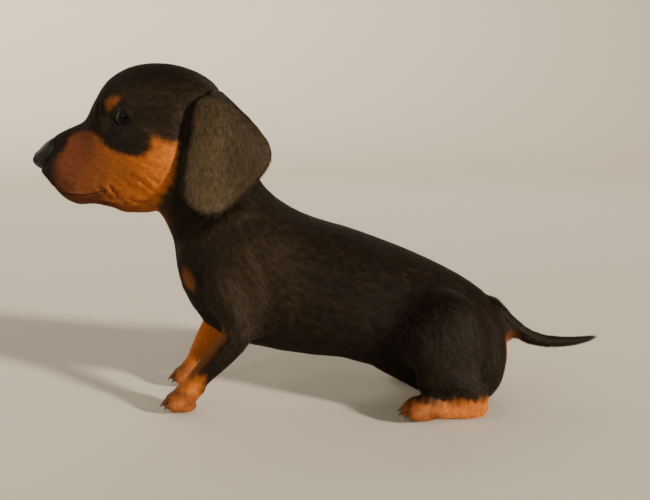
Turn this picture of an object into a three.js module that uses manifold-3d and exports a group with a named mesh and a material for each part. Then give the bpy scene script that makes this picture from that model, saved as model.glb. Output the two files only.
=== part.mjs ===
// A sitting dachshund puppy, about six weeks old, life size, in millimetres.
// The puppy faces -X, its left side is -Y and the floor is z = 0. While it is built, x = 0 is the
// middle of the back's length. The last lines move the whole group so that its box stands on the origin.

import * as THREE from "three";
import { LoftGeometry } from "three/addons/geometries/LoftGeometry.js";
import { mergeVertices } from "three/addons/utils/BufferGeometryUtils.js";
import Module from "manifold-3d";

const wasm = await Module();
wasm.setup();

// Driving dimensions of the whole puppy
const GAP = 0.35; // clear space between neighbouring pieces
const HEAD_ROWS = 28;
const HEAD_COLUMNS = 36;
const NECK_ROWS = 6;
const TORSO_ROWS = 20;
const BODY_COLUMNS = 32;
const EYE_RADIUS = 8.2;
const LID_THICKNESS = 1.0;
const EYE = { x: -106.2, y: 16.4, z: 166.5 }; // centre of each eyeball, y to either side
const EYE_AXIS = new THREE.Vector3(-0.52, 0.85, 0.04).normalize(); // the way each eye looks
const EYE_OPENING = { front: 6.6, rear: 6.8, above: 4.3, below: 3.9 };
const NOSE = { x: -159.4, z: 144.2, deep: 8.8, wide: 8.9, high: 6.3, lean: 0.4, spread: 0.14 };
const EAR_THICKNESS = 3.0;
const EAR_RINGS = 14;
const EAR_COLUMNS = 18;
const EAR_SWING = 6.5; // how far the right ear hangs further forward than the left
const CLAW = { length: 4.6, radius: 1.0 };

// The body from the nose to the rump. Each station joins a point of the upper outline to one of
// the lower outline, as [x, z], and says how wide the body is there: half is half the greatest
// width, skew makes it wider above (+) or below (-), and full under 1 makes the section squarer.
const STATIONS = [
  { name: "muzzle end", top: [-166.0, 147.5], bottom: [-164.6, 138.5], half: 5.4, skew: 0, full: 0.9 },
  { name: "lip front", top: [-162.6, 151.3], bottom: [-161.8, 133.2], half: 7.8, skew: -0.2, full: 0.9 },
  { name: "chin", top: [-157.5, 155.8], bottom: [-156.5, 127.4], half: 10.8, skew: -0.32, full: 0.92 },
  { name: "muzzle", top: [-150.0, 160.0], bottom: [-150.5, 120.6], half: 14.4, skew: -0.28, full: 0.86 },
  { name: "muzzle root", top: [-142.4, 163.4], bottom: [-143.0, 116.8], half: 16.2, skew: -0.28, full: 0.85 },
  { name: "stop", top: [-137.0, 166.8], bottom: [-134.0, 117.0], half: 17.4, skew: -0.22, full: 0.85 },
  { name: "forehead", top: [-131.9, 176.4], bottom: [-124.5, 115.2], half: 19.0, skew: -0.12, full: 0.87 },
  { name: "brow", top: [-123.6, 188.6], bottom: [-116.5, 112.3], half: 21.8, skew: -0.04, full: 0.9 },
  { name: "eyes", top: [-110.6, 196.1], bottom: [-109.5, 111.7], half: 25.6, skew: 0.02, full: 0.92 },
  { name: "crown", top: [-95.0, 198.2], bottom: [-102.5, 111.9], half: 29.4, skew: 0.06, full: 0.92 },
  { name: "back of crown", top: [-79.0, 195.7], bottom: [-97.4, 112.9], half: 31.0, skew: 0.1, full: 0.9 },
  { name: "occiput", top: [-66.3, 189.4], bottom: [-94.9, 109.8], half: 29.6, skew: 0.12, full: 0.88 },
  { name: "nape top", top: [-58.4, 179.0], bottom: [-93.0, 106.4], half: 27.6, skew: 0.08, full: 0.9 },
  { name: "nape", top: [-52.2, 164.0], bottom: [-90.9, 101.6], half: 26.4, skew: 0.02, full: 0.94 },
  { name: "neck", top: [-46.4, 149.0], bottom: [-88.9, 96.0], half: 26.8, skew: 0, full: 0.95 },
  { name: "neck root", top: [-39.8, 134.8], bottom: [-87.9, 89.0], half: 28.6, skew: 0, full: 0.95 },
  { name: "shoulders", top: [-30.6, 123.2], bottom: [-86.6, 79.4], half: 31.6, skew: 0, full: 0.95 },
  { name: "withers", top: [-18.6, 115.0], bottom: [-82.0, 63.6], half: 34.4, skew: 0.02, full: 0.95 },
  { name: "chest", top: [-5.0, 109.2], bottom: [-69.0, 45.2], half: 36.4, skew: 0.02, full: 0.93 },
  { name: "ribs", top: [10.4, 104.8], bottom: [-45.0, 34.6], half: 37.8, skew: -0.02, full: 0.93 },
  { name: "belly", top: [27.6, 98.9], bottom: [-14.0, 29.0], half: 38.6, skew: -0.06, full: 0.93 },
  { name: "flank", top: [45.4, 92.0], bottom: [18.0, 25.0], half: 37.6, skew: -0.08, full: 0.93 },
  { name: "loin", top: [62.4, 84.4], bottom: [44.0, 12.0], half: 36.0, skew: -0.08, full: 0.92 },
  { name: "hips", top: [77.6, 76.4], bottom: [66.0, 0.6], half: 33.6, skew: -0.06, full: 0.9 },
  { name: "rump", top: [89.6, 68.8], bottom: [84.0, -1.4], half: 29.6, skew: -0.04, full: 0.9 },
  { name: "tail root", top: [98.6, 60.8], bottom: [97.0, 0.4], half: 23.4, skew: -0.04, full: 0.92 },
  { name: "seat", top: [105.0, 50.0], bottom: [105.6, 11.0], half: 15.0, skew: -0.06, full: 0.95 },
  { name: "seat end", top: [108.2, 39.0], bottom: [108.6, 27.0], half: 5.0, skew: 0, full: 1 },
];

// Soft swellings (+) and hollows (-) of the body, the same on both sides: where each lies, how
// far it reaches and how high it stands.
const SWELLINGS = [
  { name: "brow ridge", at: [-114, 19, 178], reach: 9, lift: 1.6 },
  { name: "hollow before the eye", at: [-118, 19, 165], reach: 9, lift: -4.8 },
  { name: "eye hollow", at: [-105, 25, 167], reach: 8, lift: -1.2 },
  { name: "cheek", at: [-94, 30, 148], reach: 17, lift: 2.2 },
  { name: "lip fullness", at: [-151, 16, 133], reach: 9, lift: 1.0 },
  { name: "under jaw", at: [-145, 14, 118], reach: 7, lift: -1.4 },
  { name: "root of the ear", at: [-64, 21, 179], reach: 11, lift: 4.2 },
  { name: "shoulder blade", at: [-40, 33, 96], reach: 22, lift: 2.6 },
  { name: "point of the shoulder", at: [-74, 26, 80], reach: 16, lift: 2.0 },
  { name: "hip", at: [74, 30, 66], reach: 18, lift: 2.2 },
  { name: "waist", at: [34, 38, 66], reach: 22, lift: -1.6 },
];

const LAST_STATION = STATIONS.length - 1;
const stationAt = (name) => STATIONS.findIndex((station) => station.name === name);
const HEAD_END = stationAt("occiput") + 0.55;
const NECK_END = stationAt("neck root") + 0.5;

const upperLine = curveThrough(STATIONS.map(({ top }) => [top[0], 0, top[1]]));
const lowerLine = curveThrough(STATIONS.map(({ bottom }) => [bottom[0], 0, bottom[1]]));
const girths = curveThrough(STATIONS.map(({ half, skew, full }) => [half, skew, full]));

function curveThrough(points) {
  const places = points.map((point) => new THREE.Vector3(...point));
  return new THREE.CatmullRomCurve3(places, false, "catmullrom", 0.5);
}

// A closed geometry as a solid that can be joined and cut.
function solidFrom(geometry) {
  const bare = new THREE.BufferGeometry();
  bare.setAttribute("position", geometry.attributes.position);
  bare.setIndex(geometry.index);
  const merged = mergeVertices(bare, 1e-4);
  return new wasm.Manifold(new wasm.Mesh({
    numProp: 3,
    vertProperties: merged.attributes.position.array,
    triVerts: new Uint32Array(merged.index.array),
  }));
}

function geometryFrom(solid) {
  const { vertProperties, triVerts } = solid.getMesh();
  const geometry = new THREE.BufferGeometry();
  geometry.setAttribute("position", new THREE.BufferAttribute(vertProperties, 3));
  geometry.setIndex(new THREE.BufferAttribute(triVerts, 1));
  const faceted = geometry.toNonIndexed();
  faceted.computeVertexNormals();
  return faceted;
}

// Rings of points become one closed solid with flat ends, whichever way round the rings run.
function loft(rings) {
  const [first, second] = rings;
  const onward = new THREE.Vector3();
  const turning = new THREE.Vector3();
  first.forEach((point, index) => {
    const next = first[(index + 1) % first.length];
    onward.add(second[index]).sub(point);
    turning.add(point.clone().sub(first[0]).cross(next.clone().sub(first[0])));
  });
  const rightWay = turning.dot(onward) > 0 ? rings : rings.map((ring) => ring.slice().reverse());
  return solidFrom(new LoftGeometry(rightWay, { capStart: true, capEnd: true }));
}

const join = (solids) => solids.reduce((whole, solid) => whole.add(solid));
const cut = (solid, tools) => tools.reduce((rest, tool) => rest.subtract(tool), solid);

function largestBody(solid) {
  return solid.decompose().reduce((best, body) => (body.volume() > best.volume() ? body : best));
}

function ball(centre, radii, wide, high) {
  const geometry = new THREE.SphereGeometry(1, wide, high);
  geometry.scale(...radii);
  geometry.translate(...centre);
  return solidFrom(geometry);
}

// A rounded limb through a row of points, with a radius in the side view and one across it.
function limb({ through, radii, rows, columns, across = [0, 1, 0] }) {
  const path = curveThrough(through);
  const girth = curveThrough(radii.map(([deep, wide]) => [deep, wide, 0]));
  const length = path.getLength();
  const rings = [];
  for (let row = 0; row <= rows; row += 1) {
    const share = 0.5 - 0.5 * Math.cos((Math.PI * row) / rows);
    const centre = path.getPoint(share);
    const along = path.getTangent(share);
    const side = new THREE.Vector3(...across);
    side.addScaledVector(along, -along.dot(side)).normalize();
    const deepWay = new THREE.Vector3().crossVectors(along, side);
    const { x: deep, y: wide } = girth.getPoint(share);
    const toEnd = Math.min(share, 1 - share) * length;
    const rest = Math.max(0, 1 - toEnd / Math.min(deep, wide));
    const shrink = Math.max(0.12, Math.sqrt(1 - rest * rest));
    const ring = [];
    for (let column = 0; column < columns; column += 1) {
      const angle = (2 * Math.PI * column) / columns;
      ring.push(centre.clone()
        .addScaledVector(side, wide * shrink * Math.cos(angle))
        .addScaledVector(deepWay, deep * shrink * Math.sin(angle)));
    }
    rings.push(ring);
  }
  return loft(rings);
}

// The body's surface
function swellingAt(point) {
  let lift = 0;
  for (const swelling of SWELLINGS) {
    const [x, y, z] = swelling.at;
    const away = Math.hypot(point.x - x, Math.abs(point.y) - y, point.z - z) / swelling.reach;
    lift += swelling.lift * Math.exp(-away * away);
  }
  return lift;
}

function bodyPoint(station, angle, grow) {
  const top = upperLine.getPoint(station / LAST_STATION);
  const bottom = lowerLine.getPoint(station / LAST_STATION);
  const { x: half, y: skew, z: full } = girths.getPoint(station / LAST_STATION);
  const centre = top.clone().add(bottom).multiplyScalar(0.5);
  const up = top.sub(bottom).multiplyScalar(0.5);
  const sine = Math.sin(angle);
  const cosine = Math.cos(angle);
  const across = half * Math.sign(cosine) * Math.abs(cosine) ** full * (1 + skew * sine);
  const point = centre.clone().addScaledVector(up, sine);
  point.y = across;
  const outward = point.clone().sub(centre).normalize();
  return point.addScaledVector(outward, swellingAt(point) + grow);
}

function bodyRing(station, columns, grow) {
  const ring = [];
  for (let column = 0; column < columns; column += 1) {
    ring.push(bodyPoint(station, (2 * Math.PI * column) / columns, grow));
  }
  return ring;
}

function bodyLength(from, to, rows, columns, grow) {
  const rings = [];
  for (let row = 0; row <= rows; row += 1) {
    rings.push(bodyRing(from + ((to - from) * row) / rows, columns, grow));
  }
  return loft(rings);
}

// Half the body's width at a place of the side view, for what lies on its surface.
function flankAt(x, z) {
  const side = (station) => {
    const top = upperLine.getPoint(station / LAST_STATION);
    const bottom = lowerLine.getPoint(station / LAST_STATION);
    return (top.x - bottom.x) * (z - bottom.z) - (top.z - bottom.z) * (x - bottom.x);
  };
  let low = 0;
  let high = stationAt("shoulders");
  for (let step = 0; step < 30; step += 1) {
    const middle = (low + high) / 2;
    if (side(middle) > 0) high = middle;
    else low = middle;
  }
  const top = upperLine.getPoint(low / LAST_STATION);
  const bottom = lowerLine.getPoint(low / LAST_STATION);
  const height = top.distanceTo(bottom);
  const share = ((x - bottom.x) * (top.x - bottom.x) + (z - bottom.z) * (top.z - bottom.z)) / height ** 2;
  return bodyPoint(low, Math.asin(THREE.MathUtils.clamp(2 * share - 1, -1, 1)), 0).y;
}

// A thin slab in the plane of one station, which parts two neighbouring pieces.
function partingSlab(station) {
  const top = upperLine.getPoint(station / LAST_STATION);
  const bottom = lowerLine.getPoint(station / LAST_STATION);
  const middle = top.clone().add(bottom).multiplyScalar(0.5);
  const geometry = new THREE.BoxGeometry(GAP, 140, 160);
  geometry.rotateY(Math.atan2(top.x - bottom.x, top.z - bottom.z));
  geometry.translate(middle.x, 0, middle.z);
  return solidFrom(geometry);
}

const headLength = (grow) => bodyLength(0, HEAD_END, HEAD_ROWS, HEAD_COLUMNS, grow);
const neckLength = (grow) => bodyLength(HEAD_END, NECK_END, NECK_ROWS, BODY_COLUMNS, grow);
const torsoLength = (grow) => bodyLength(NECK_END, LAST_STATION, TORSO_ROWS, BODY_COLUMNS, grow);

// The lengths of the body grown by the gap, which cut what lies against them.
const headGrown = headLength(GAP);
const neckGrown = neckLength(GAP);
const torsoGrown = torsoLength(GAP);
const belowFloor = solidFrom(new THREE.BoxGeometry(500, 200, 40).translate(0, 0, -20));

// The nose: a leathery pad, widest above, narrowing to the lip, with its upper edge leaning back.
// A comma-shaped nostril opens on each side.
function nosePad(grow) {
  const geometry = new THREE.SphereGeometry(1, 18, 12);
  const place = geometry.attributes.position;
  for (let index = 0; index < place.count; index += 1) {
    const [deep, across, high] = [place.getX(index), place.getY(index), place.getZ(index)];
    const narrowing = (1 + 0.4 * Math.min(high, 0.4)) * (1 + NOSE.spread * deep);
    place.setXYZ(
      index,
      NOSE.x + (NOSE.deep + grow) * deep + NOSE.lean * high,
      (NOSE.wide + grow) * Math.sign(across) * Math.abs(across) ** 0.8 * narrowing,
      NOSE.z + (NOSE.high + grow) * high + 1.2 * deep,
    );
  }
  return solidFrom(geometry);
}

function nostril(side) {
  return limb({
    through: [
      [-163.0, side * 2.8, 145.0],
      [-167.2, side * 3.4, 143.8],
      [-165.6, side * 7.2, 142.6],
      [-161.2, side * 10.2, 143.4],
    ],
    radii: [[1.2, 1.2], [1.6, 1.4], [1.1, 0.9], [0.7, 0.6]],
    rows: 7,
    columns: 8,
    across: [0, 0, 1],
  });
}

// A sphere about the eye's centre: the eyeball itself, its socket or the dome of the lids.
function eyeSphere(side, radius) {
  return ball([EYE.x, side * EYE.y, EYE.z], [radius, radius, radius], 14, 10);
}

// The almond-shaped opening of the lids, cut along the way the eye looks.
function lidOpening(side) {
  const { above, below } = EYE_OPENING;
  const front = side * EYE_OPENING.front;
  const rear = -side * EYE_OPENING.rear;
  const almond = new THREE.Shape();
  almond.moveTo(front, 0.2);
  almond.bezierCurveTo(front, above * 1.3, rear * 0.2, above * 1.15, rear, -0.8);
  almond.bezierCurveTo(rear * 0.5, -below * 1.2, front * 0.9, -below * 1.5, front, 0.2);
  const geometry = new THREE.ExtrudeGeometry(almond, { depth: 14, bevelEnabled: false, curveSegments: 9 });
  const outward = new THREE.Vector3(EYE_AXIS.x, side * EYE_AXIS.y, EYE_AXIS.z);
  const across = new THREE.Vector3(0, 0, 1).cross(outward).normalize();
  const upward = outward.clone().cross(across);
  geometry.applyMatrix4(new THREE.Matrix4().makeBasis(across, upward, outward));
  geometry.translate(EYE.x, side * EYE.y, EYE.z);
  return solidFrom(geometry);
}

// The line of the mouth in the side view, from under the nose to the corner.
const MOUTH_LINE = [
  [-157.4, 127.6], [-154.2, 125.8], [-148.6, 124.6], [-142.4, 123.6],
  [-136.2, 123.3], [-130.0, 124.6], [-125.0, 126.6],
];

function alongMouth(side, rise, outward) {
  const points = MOUTH_LINE.map(([x, z]) => [x, side * (flankAt(x, z + rise) + outward), z + rise]);
  points.unshift([points[0][0] - 1.6, side * 0.2, points[0][2] + 1.4]);
  return points;
}

function mouthGroove(side) {
  const points = alongMouth(side, 0, 0);
  return limb({ through: points, radii: points.map(() => [0.8, 1.6]), rows: 13, columns: 6 });
}

function lipRoll(side) {
  const points = alongMouth(side, 2.1, -1.3).slice(2);
  const swell = points.map((_, index) => Math.sin((Math.PI * (index + 0.4)) / (points.length - 0.2)));
  const radii = swell.map((share) => [2.0 * share, 1.7 * share]);
  return limb({ through: points, radii, rows: 9, columns: 8 });
}

// The ear: a broad soft leaf. Each row gives its height, the x of its front and rear edges, how
// far out those edges lie and how far the leaf bulges between them, which makes the cup.
const EAR_ROWS = [
  { z: 181.4, front: -67.4, rear: -58.4, edge: 17.0, bulge: 1.5 },
  { z: 179.6, front: -69.2, rear: -54.4, edge: 21.0, bulge: 5.0 },
  { z: 175.0, front: -69.8, rear: -49.4, edge: 25.5, bulge: 7.5 },
  { z: 168.0, front: -69.8, rear: -41.4, edge: 28.2, bulge: 8.6 },
  { z: 160.0, front: -71.4, rear: -34.0, edge: 28.4, bulge: 7.6 },
  { z: 151.0, front: -73.4, rear: -28.2, edge: 29.0, bulge: 7.0 },
  { z: 143.0, front: -74.8, rear: -29.4, edge: 29.4, bulge: 6.3 },
  { z: 135.0, front: -75.9, rear: -35.6, edge: 29.8, bulge: 5.4 },
  { z: 127.5, front: -76.0, rear: -43.0, edge: 30.2, bulge: 4.4 },
  { z: 121.0, front: -73.0, rear: -50.2, edge: 30.8, bulge: 3.0 },
  { z: 117.4, front: -69.0, rear: -56.4, edge: 31.0, bulge: 2.0 },
  { z: 116.0, front: -65.4, rear: -60.4, edge: 31.2, bulge: 1.4 },
];

function ear(side) {
  const swing = side > 0 ? EAR_SWING : 0;
  const places = curveThrough(EAR_ROWS.map(({ front, rear, z }) => [front, rear, z]));
  const depths = curveThrough(EAR_ROWS.map(({ edge, bulge }) => [edge, bulge, 0]));
  const rings = [];
  for (let row = 0; row <= EAR_RINGS; row += 1) {
    const share = row / EAR_RINGS;
    const { x: front, y: rear, z } = places.getPoint(share);
    const { x: edge, y: bulge } = depths.getPoint(share);
    const chord = (rear - front) / 2;
    const thick = Math.min(EAR_THICKNESS, chord) / 2;
    const ring = [];
    for (let column = 0; column < EAR_COLUMNS; column += 1) {
      const angle = (2 * Math.PI * column) / EAR_COLUMNS;
      const along = Math.cos(angle);
      const arch = bulge * (1 - along * along) ** 0.8;
      const y = edge + arch + thick * Math.sign(Math.sin(angle)) * Math.abs(Math.sin(angle)) ** 0.5;
      ring.push(new THREE.Vector3((front + rear) / 2 + chord * along - swing, side * y, z));
    }
    rings.push(ring);
  }
  return largestBody(cut(loft(rings), [headGrown, neckGrown, torsoGrown]));
}

// The toes of one foot, the middle two longest, each with a short claw, and the pad under the
// foot. They point along -X from the place of the toes.
function toes([x, y, z]) {
  const pieces = [ball([x + 11, y, 2.8], [6.5, 7.4, 3.6], 10, 6)];
  for (const place of [-1.5, -0.5, 0.5, 1.5]) {
    const back = Math.abs(place) > 1 ? 3.2 : 0;
    const toeY = y + place * 4.9;
    const fan = place * 0.9;
    pieces.push(limb({
      through: [
        [x + back + 9, toeY - fan, z + 2.2],
        [x + back + 4, toeY, z + 1.4],
        [x + back, toeY + fan, z - 1.2],
      ],
      radii: [[4.0, 2.8], [4.3, 3.0], [3.6, 2.8]],
      rows: 5,
      columns: 8,
    }));
    pieces.push(limb({
      through: [
        [x + back + 2.2, toeY + fan, z + 0.4],
        [x + back - 1.2, toeY + fan * 1.2, z + 0.2],
        [x + back + 1.4 - CLAW.length, toeY + fan * 1.3, z - 1.8],
      ],
      radii: [[CLAW.radius, CLAW.radius], [CLAW.radius, CLAW.radius * 0.8], [0.4, 0.35]],
      rows: 3,
      columns: 6,
    }));
  }
  return join(pieces);
}

// The joints of the forelegs. The left one slants forward, the right one stands steeper.
const LEFT_FORELEG = { elbow: [-45, -33, 50], wrist: [-70, -30, 23], toe: [-91, -26, 5.2] };
const RIGHT_FORELEG = { elbow: [-62, 33, 50], wrist: [-78, 28, 23], toe: [-95, 24, 5.2] };

// A foreleg from the shoulder down to its toes.
function foreleg(side, { elbow, wrist, toe }) {
  const upperArm = limb({
    through: [[-56, side * 24, 92], [-54, side * 30, 72], elbow],
    radii: [[15, 9], [14.5, 10], [9.6, 8.4]],
    rows: 8,
    columns: 14,
  });
  const forearm = limb({
    through: [
      [elbow[0] + 3, elbow[1], elbow[2] + 5],
      [(elbow[0] + wrist[0]) / 2, (elbow[1] + wrist[1]) / 2, (elbow[2] + wrist[2]) / 2],
      wrist,
      [toe[0] + 11, toe[1], toe[2] + 5],
      [toe[0] + 3, toe[1], toe[2]],
    ],
    radii: [[10, 8.6], [9, 8.2], [7.2, 7.4], [6.6, 9.0], [4.8, 8.6]],
    rows: 12,
    columns: 12,
  });
  const whole = join([upperArm, forearm, toes(toe)]);
  return largestBody(cut(whole, [torsoGrown, neckGrown, belowFloor]));
}

// A hind leg folded under the sitting body: the broad thigh down to the knee, the shank under it
// and the long foot flat on the floor.
function hindleg(side) {
  const toe = [44, side * 41, 5.2];
  const thigh = limb({
    through: [[88, side * 27, 58], [72, side * 34, 50], [54, side * 39, 42], [44, side * 40, 36]],
    radii: [[20, 9], [27, 13], [20, 12], [11, 9]],
    rows: 9,
    columns: 16,
  });
  const shank = limb({
    through: [[50, side * 41, 32], [70, side * 40, 23], [93, side * 37, 12]],
    radii: [[13, 9], [13, 9.5], [8.6, 7.6]],
    rows: 6,
    columns: 12,
  });
  const foot = limb({
    through: [
      [93, side * 38, 8],
      [78, side * 39, 7],
      [toe[0] + 11, toe[1], toe[2] + 3.4],
      [toe[0] + 3, toe[1], toe[2]],
    ],
    radii: [[7.2, 6.2], [7.4, 6.8], [6.2, 8.8], [4.8, 8.6]],
    rows: 9,
    columns: 12,
  });
  const whole = join([thigh, shank, foot, toes(toe)]);
  return largestBody(cut(whole, [torsoGrown, belowFloor]));
}

function tail() {
  const whole = limb({
    through: [
      [90, 0, 60], [100, 0, 53.5], [110, 0.4, 45], [121, 1.4, 37.6],
      [134, 3, 34], [149, 5, 33.4], [163, 8, 35],
    ],
    radii: [9, 7.6, 6.0, 4.8, 4.0, 3.2, 2.0].map((radius) => [radius, radius]),
    rows: 14,
    columns: 10,
  });
  return largestBody(cut(whole, [torsoGrown]));
}

function head() {
  const pieces = [headLength(0)];
  const openings = [nosePad(GAP), partingSlab(HEAD_END)];
  for (const side of [-1, 1]) {
    pieces.push(eyeSphere(side, EYE_RADIUS + LID_THICKNESS), lipRoll(side));
    openings.push(eyeSphere(side, EYE_RADIUS + GAP), lidOpening(side), mouthGroove(side));
  }
  return largestBody(cut(join(pieces), openings));
}

// Colours of the sub-parts: black-brown coat, tan feet, black leather nose and dark eyes.
const coat = { color: 0x1c1512, roughness: 0.55, metalness: 0 };
const tan = { color: 0x8a4a1c, roughness: 0.6, metalness: 0 };
const leather = { color: 0x15120f, roughness: 0.4, metalness: 0 };
const eyeball = { color: 0x0b0706, roughness: 0.08, metalness: 0 };

const puppy = new THREE.Group();

function addNode(name, solid, look) {
  const mesh = new THREE.Mesh(geometryFrom(solid), new THREE.MeshStandardMaterial(look));
  mesh.name = name;
  puppy.add(mesh);
}

addNode("head", head(), coat);
addNode("nose", cut(nosePad(0), [nostril(-1), nostril(1)]), leather);
addNode("neck", cut(neckLength(0), [partingSlab(HEAD_END), partingSlab(NECK_END)]), coat);
addNode("torso", cut(torsoLength(0), [partingSlab(NECK_END), belowFloor]), coat);
for (const [name, side] of [["left", -1], ["right", 1]]) {
  addNode(`eye_${name}`, eyeSphere(side, EYE_RADIUS), eyeball);
  addNode(`ear_${name}`, ear(side), coat);
  addNode(`hindleg_${name}`, hindleg(side), coat);
}
addNode("foreleg_left", foreleg(-1, LEFT_FORELEG), tan);
addNode("foreleg_right", foreleg(1, RIGHT_FORELEG), tan);
addNode("tail", tail(), coat);

// The box of the whole puppy stands centred on the origin.
const box = new THREE.Box3().setFromObject(puppy);
const middle = box.getCenter(new THREE.Vector3());
puppy.position.set(-middle.x, -middle.y, -box.min.z);

export default puppy;
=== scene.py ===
import math

import bmesh
import bpy
import numpy as np
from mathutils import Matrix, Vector
from mathutils.bvhtree import BVHTree


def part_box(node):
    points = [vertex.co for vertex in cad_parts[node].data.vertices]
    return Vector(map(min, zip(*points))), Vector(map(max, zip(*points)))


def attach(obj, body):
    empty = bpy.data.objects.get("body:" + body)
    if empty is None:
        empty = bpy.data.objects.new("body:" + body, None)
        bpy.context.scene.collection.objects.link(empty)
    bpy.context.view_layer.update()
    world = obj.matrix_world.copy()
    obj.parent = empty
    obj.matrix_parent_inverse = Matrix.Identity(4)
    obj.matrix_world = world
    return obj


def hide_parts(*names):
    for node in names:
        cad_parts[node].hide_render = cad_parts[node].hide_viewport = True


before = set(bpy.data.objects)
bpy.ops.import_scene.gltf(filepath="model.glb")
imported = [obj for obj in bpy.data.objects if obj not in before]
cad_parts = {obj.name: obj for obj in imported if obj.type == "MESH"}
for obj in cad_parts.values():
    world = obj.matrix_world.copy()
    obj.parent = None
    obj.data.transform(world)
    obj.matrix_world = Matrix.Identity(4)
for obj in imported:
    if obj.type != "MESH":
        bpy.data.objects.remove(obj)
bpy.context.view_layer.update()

# The hide. The puppy has one closed skin from the lips to the tail's tip, cast over its solids and
# then drawn in by the depth of the coat. All sizes are in millimetres, with x = 0 at the middle of
# the back; SHIFT carries them to the frame's own origin.
MM = 0.001
EYE = np.array([-106.2, 16.4, 166.5])
eye_low, eye_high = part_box("eye_left")
SHIFT = np.array([(eye_low.x + eye_high.x) / 2 / MM - EYE[0], 0, 0])
SEAM = 0.35
LID_COVER = 0.9
CAST_GRAIN = 1.7
EARS = ("ear_left", "ear_right")
LEGS = ("foreleg_left", "foreleg_right", "hindleg_left", "hindleg_right")
FLESH = ("head", "neck", "torso", *LEGS, "tail", *EARS)


def solid_points(node, swell=0.0):
    """A solid's points in millimetres, moved out by swell, and its faces."""
    solid = bmesh.new()
    solid.from_mesh(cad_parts[node].data)
    bmesh.ops.remove_doubles(solid, verts=solid.verts, dist=2e-6)
    solid.normal_update()
    solid.verts.index_update()
    points = np.array([vert.co / MM + vert.normal * swell for vert in solid.verts]) - SHIFT
    faces = [[vert.index for vert in face.verts] for face in solid.faces]
    solid.free()
    return points, faces


def joined(shapes):
    """Several lists of points and faces as one."""
    points, faces = [], []
    for more_points, more_faces in shapes:
        start = sum(len(part) for part in points)
        faces += [[index + start for index in face] for face in more_faces]
        points.append(more_points)
    return np.concatenate(points), faces


def placed(name, data):
    """A new object of the scene that holds a mesh, a lamp or a camera."""
    made = bpy.data.objects.new(name, data)
    bpy.context.scene.collection.objects.link(made)
    return made


def object_from(name, points, faces):
    """An object of the frame from points in millimetres."""
    mesh = bpy.data.meshes.new(name)
    mesh.from_pydata(((points + SHIFT) * MM).tolist(), [], faces)
    return placed(name, mesh)


def finished_mesh(made):
    """The mesh of an object with its modifiers applied. The object itself is removed."""
    shaped = made.evaluated_get(bpy.context.evaluated_depsgraph_get())
    mesh = bpy.data.meshes.new_from_object(shaped)
    bpy.data.objects.remove(made)
    return mesh


def main_body(mesh):
    """Drops every scrap that hangs on nothing, and keeps the largest body of a mesh."""
    shape = bmesh.new()
    shape.from_mesh(mesh)
    waiting, bodies = set(shape.verts), []
    while waiting:
        front = [waiting.pop()]
        body = list(front)
        while front:
            for edge in front.pop().link_edges:
                found = waiting.intersection(edge.verts)
                waiting -= found
                front += found
                body += found
        bodies.append(body)
    bodies.sort(key=len)
    bmesh.ops.delete(shape, geom=[vert for body in bodies[:-1] for vert in body], context="VERTS")
    shape.to_mesh(mesh)
    shape.free()
    return mesh


def rows_of(things, name, width, kind):
    """One value of every point, edge, face or corner of a mesh, in rows."""
    values = np.empty(len(things) * width, kind)
    things.foreach_get(name, values)
    return values.reshape(-1, width)


class Hide:
    """A mesh of the frame seen in millimetres, which can be smoothed and modelled."""

    def __init__(self, mesh):
        self.mesh = mesh
        self.points = rows_of(mesh.vertices, "co", 3, np.float32).astype(float) / MM - SHIFT
        self.ends = rows_of(mesh.edges, "vertices", 2, np.int32)
        self.shares = np.bincount(self.ends.ravel(), minlength=len(self.points))
        mesh.calc_loop_triangles()
        self.triangles = rows_of(mesh.loop_triangles, "vertices", 3, np.int32)

    def surface(self):
        """The hide as it is now, for finding what lies nearest."""
        return BVHTree.FromPolygons(self.points.tolist(), self.triangles.tolist())

    def total(self, places, values):
        columns = [np.bincount(places, column, len(self.points)) for column in values.T]
        return np.stack(columns, 1)

    def mean(self, values, rounds=1):
        """What each point's neighbours have, on average, taken once or several times over."""
        start, end = self.ends.T
        for _ in range(rounds):
            rows = values.reshape(len(values), -1)
            total = self.total(start, rows[end]) + self.total(end, rows[start])
            values = (total / self.shares[:, None]).reshape(values.shape)
        return values

    def outward(self):
        a, b, c = (self.points[self.triangles[:, corner]] for corner in range(3))
        slant = np.cross(b - a, c - a)
        total = sum(self.total(self.triangles[:, corner], slant) for corner in range(3))
        return total / (np.linalg.norm(total, axis=1, keepdims=True) + 1e-12)

    def push(self, amount):
        """Moves each point out of the skin by its own amount."""
        self.points += self.outward() * amount[:, None]

    def smooth(self, rounds, share=1.0):
        share = np.broadcast_to(share, len(self.points))[:, None] * 0.6
        for _ in range(rounds):
            self.points += (self.mean(self.points) - self.points) * share

    def settle(self, surface, depth, rounds=6):
        """Moves the skin to the stated depth under a surface, evenly."""
        above = np.empty(len(self.points))
        for index, point in enumerate(self.points):
            nearest, normal, _, _ = surface.find_nearest(point)
            away = Vector(point) - nearest
            above[index] = math.copysign(away.length, away.dot(normal))
        move = -depth - above
        for _ in range(rounds):
            move = 0.5 * move + 0.5 * self.mean(move)
        self.push(move)

    def refine(self, where):
        """Halves the mesh's grain where the points given are true."""
        self.write()
        fine = bmesh.new()
        fine.from_mesh(self.mesh)
        fine.verts.ensure_lookup_table()
        edges = [edge for edge in fine.edges if where[edge.verts[0].index] and where[edge.verts[1].index]]
        bmesh.ops.subdivide_edges(fine, edges=edges, cuts=1, use_grid_fill=True)
        bmesh.ops.triangulate(fine, faces=[face for face in fine.faces if len(face.verts) > 4])
        fine.to_mesh(self.mesh)
        fine.free()
        self.__init__(self.mesh)

    def write(self):
        self.mesh.vertices.foreach_set("co", ((self.points + SHIFT) * MM).astype(np.float32).ravel())
        self.mesh.update()


def bell(away, width):
    """1 at nought, and falling off on both sides of it."""
    return np.exp(-((away / width) ** 2))


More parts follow.
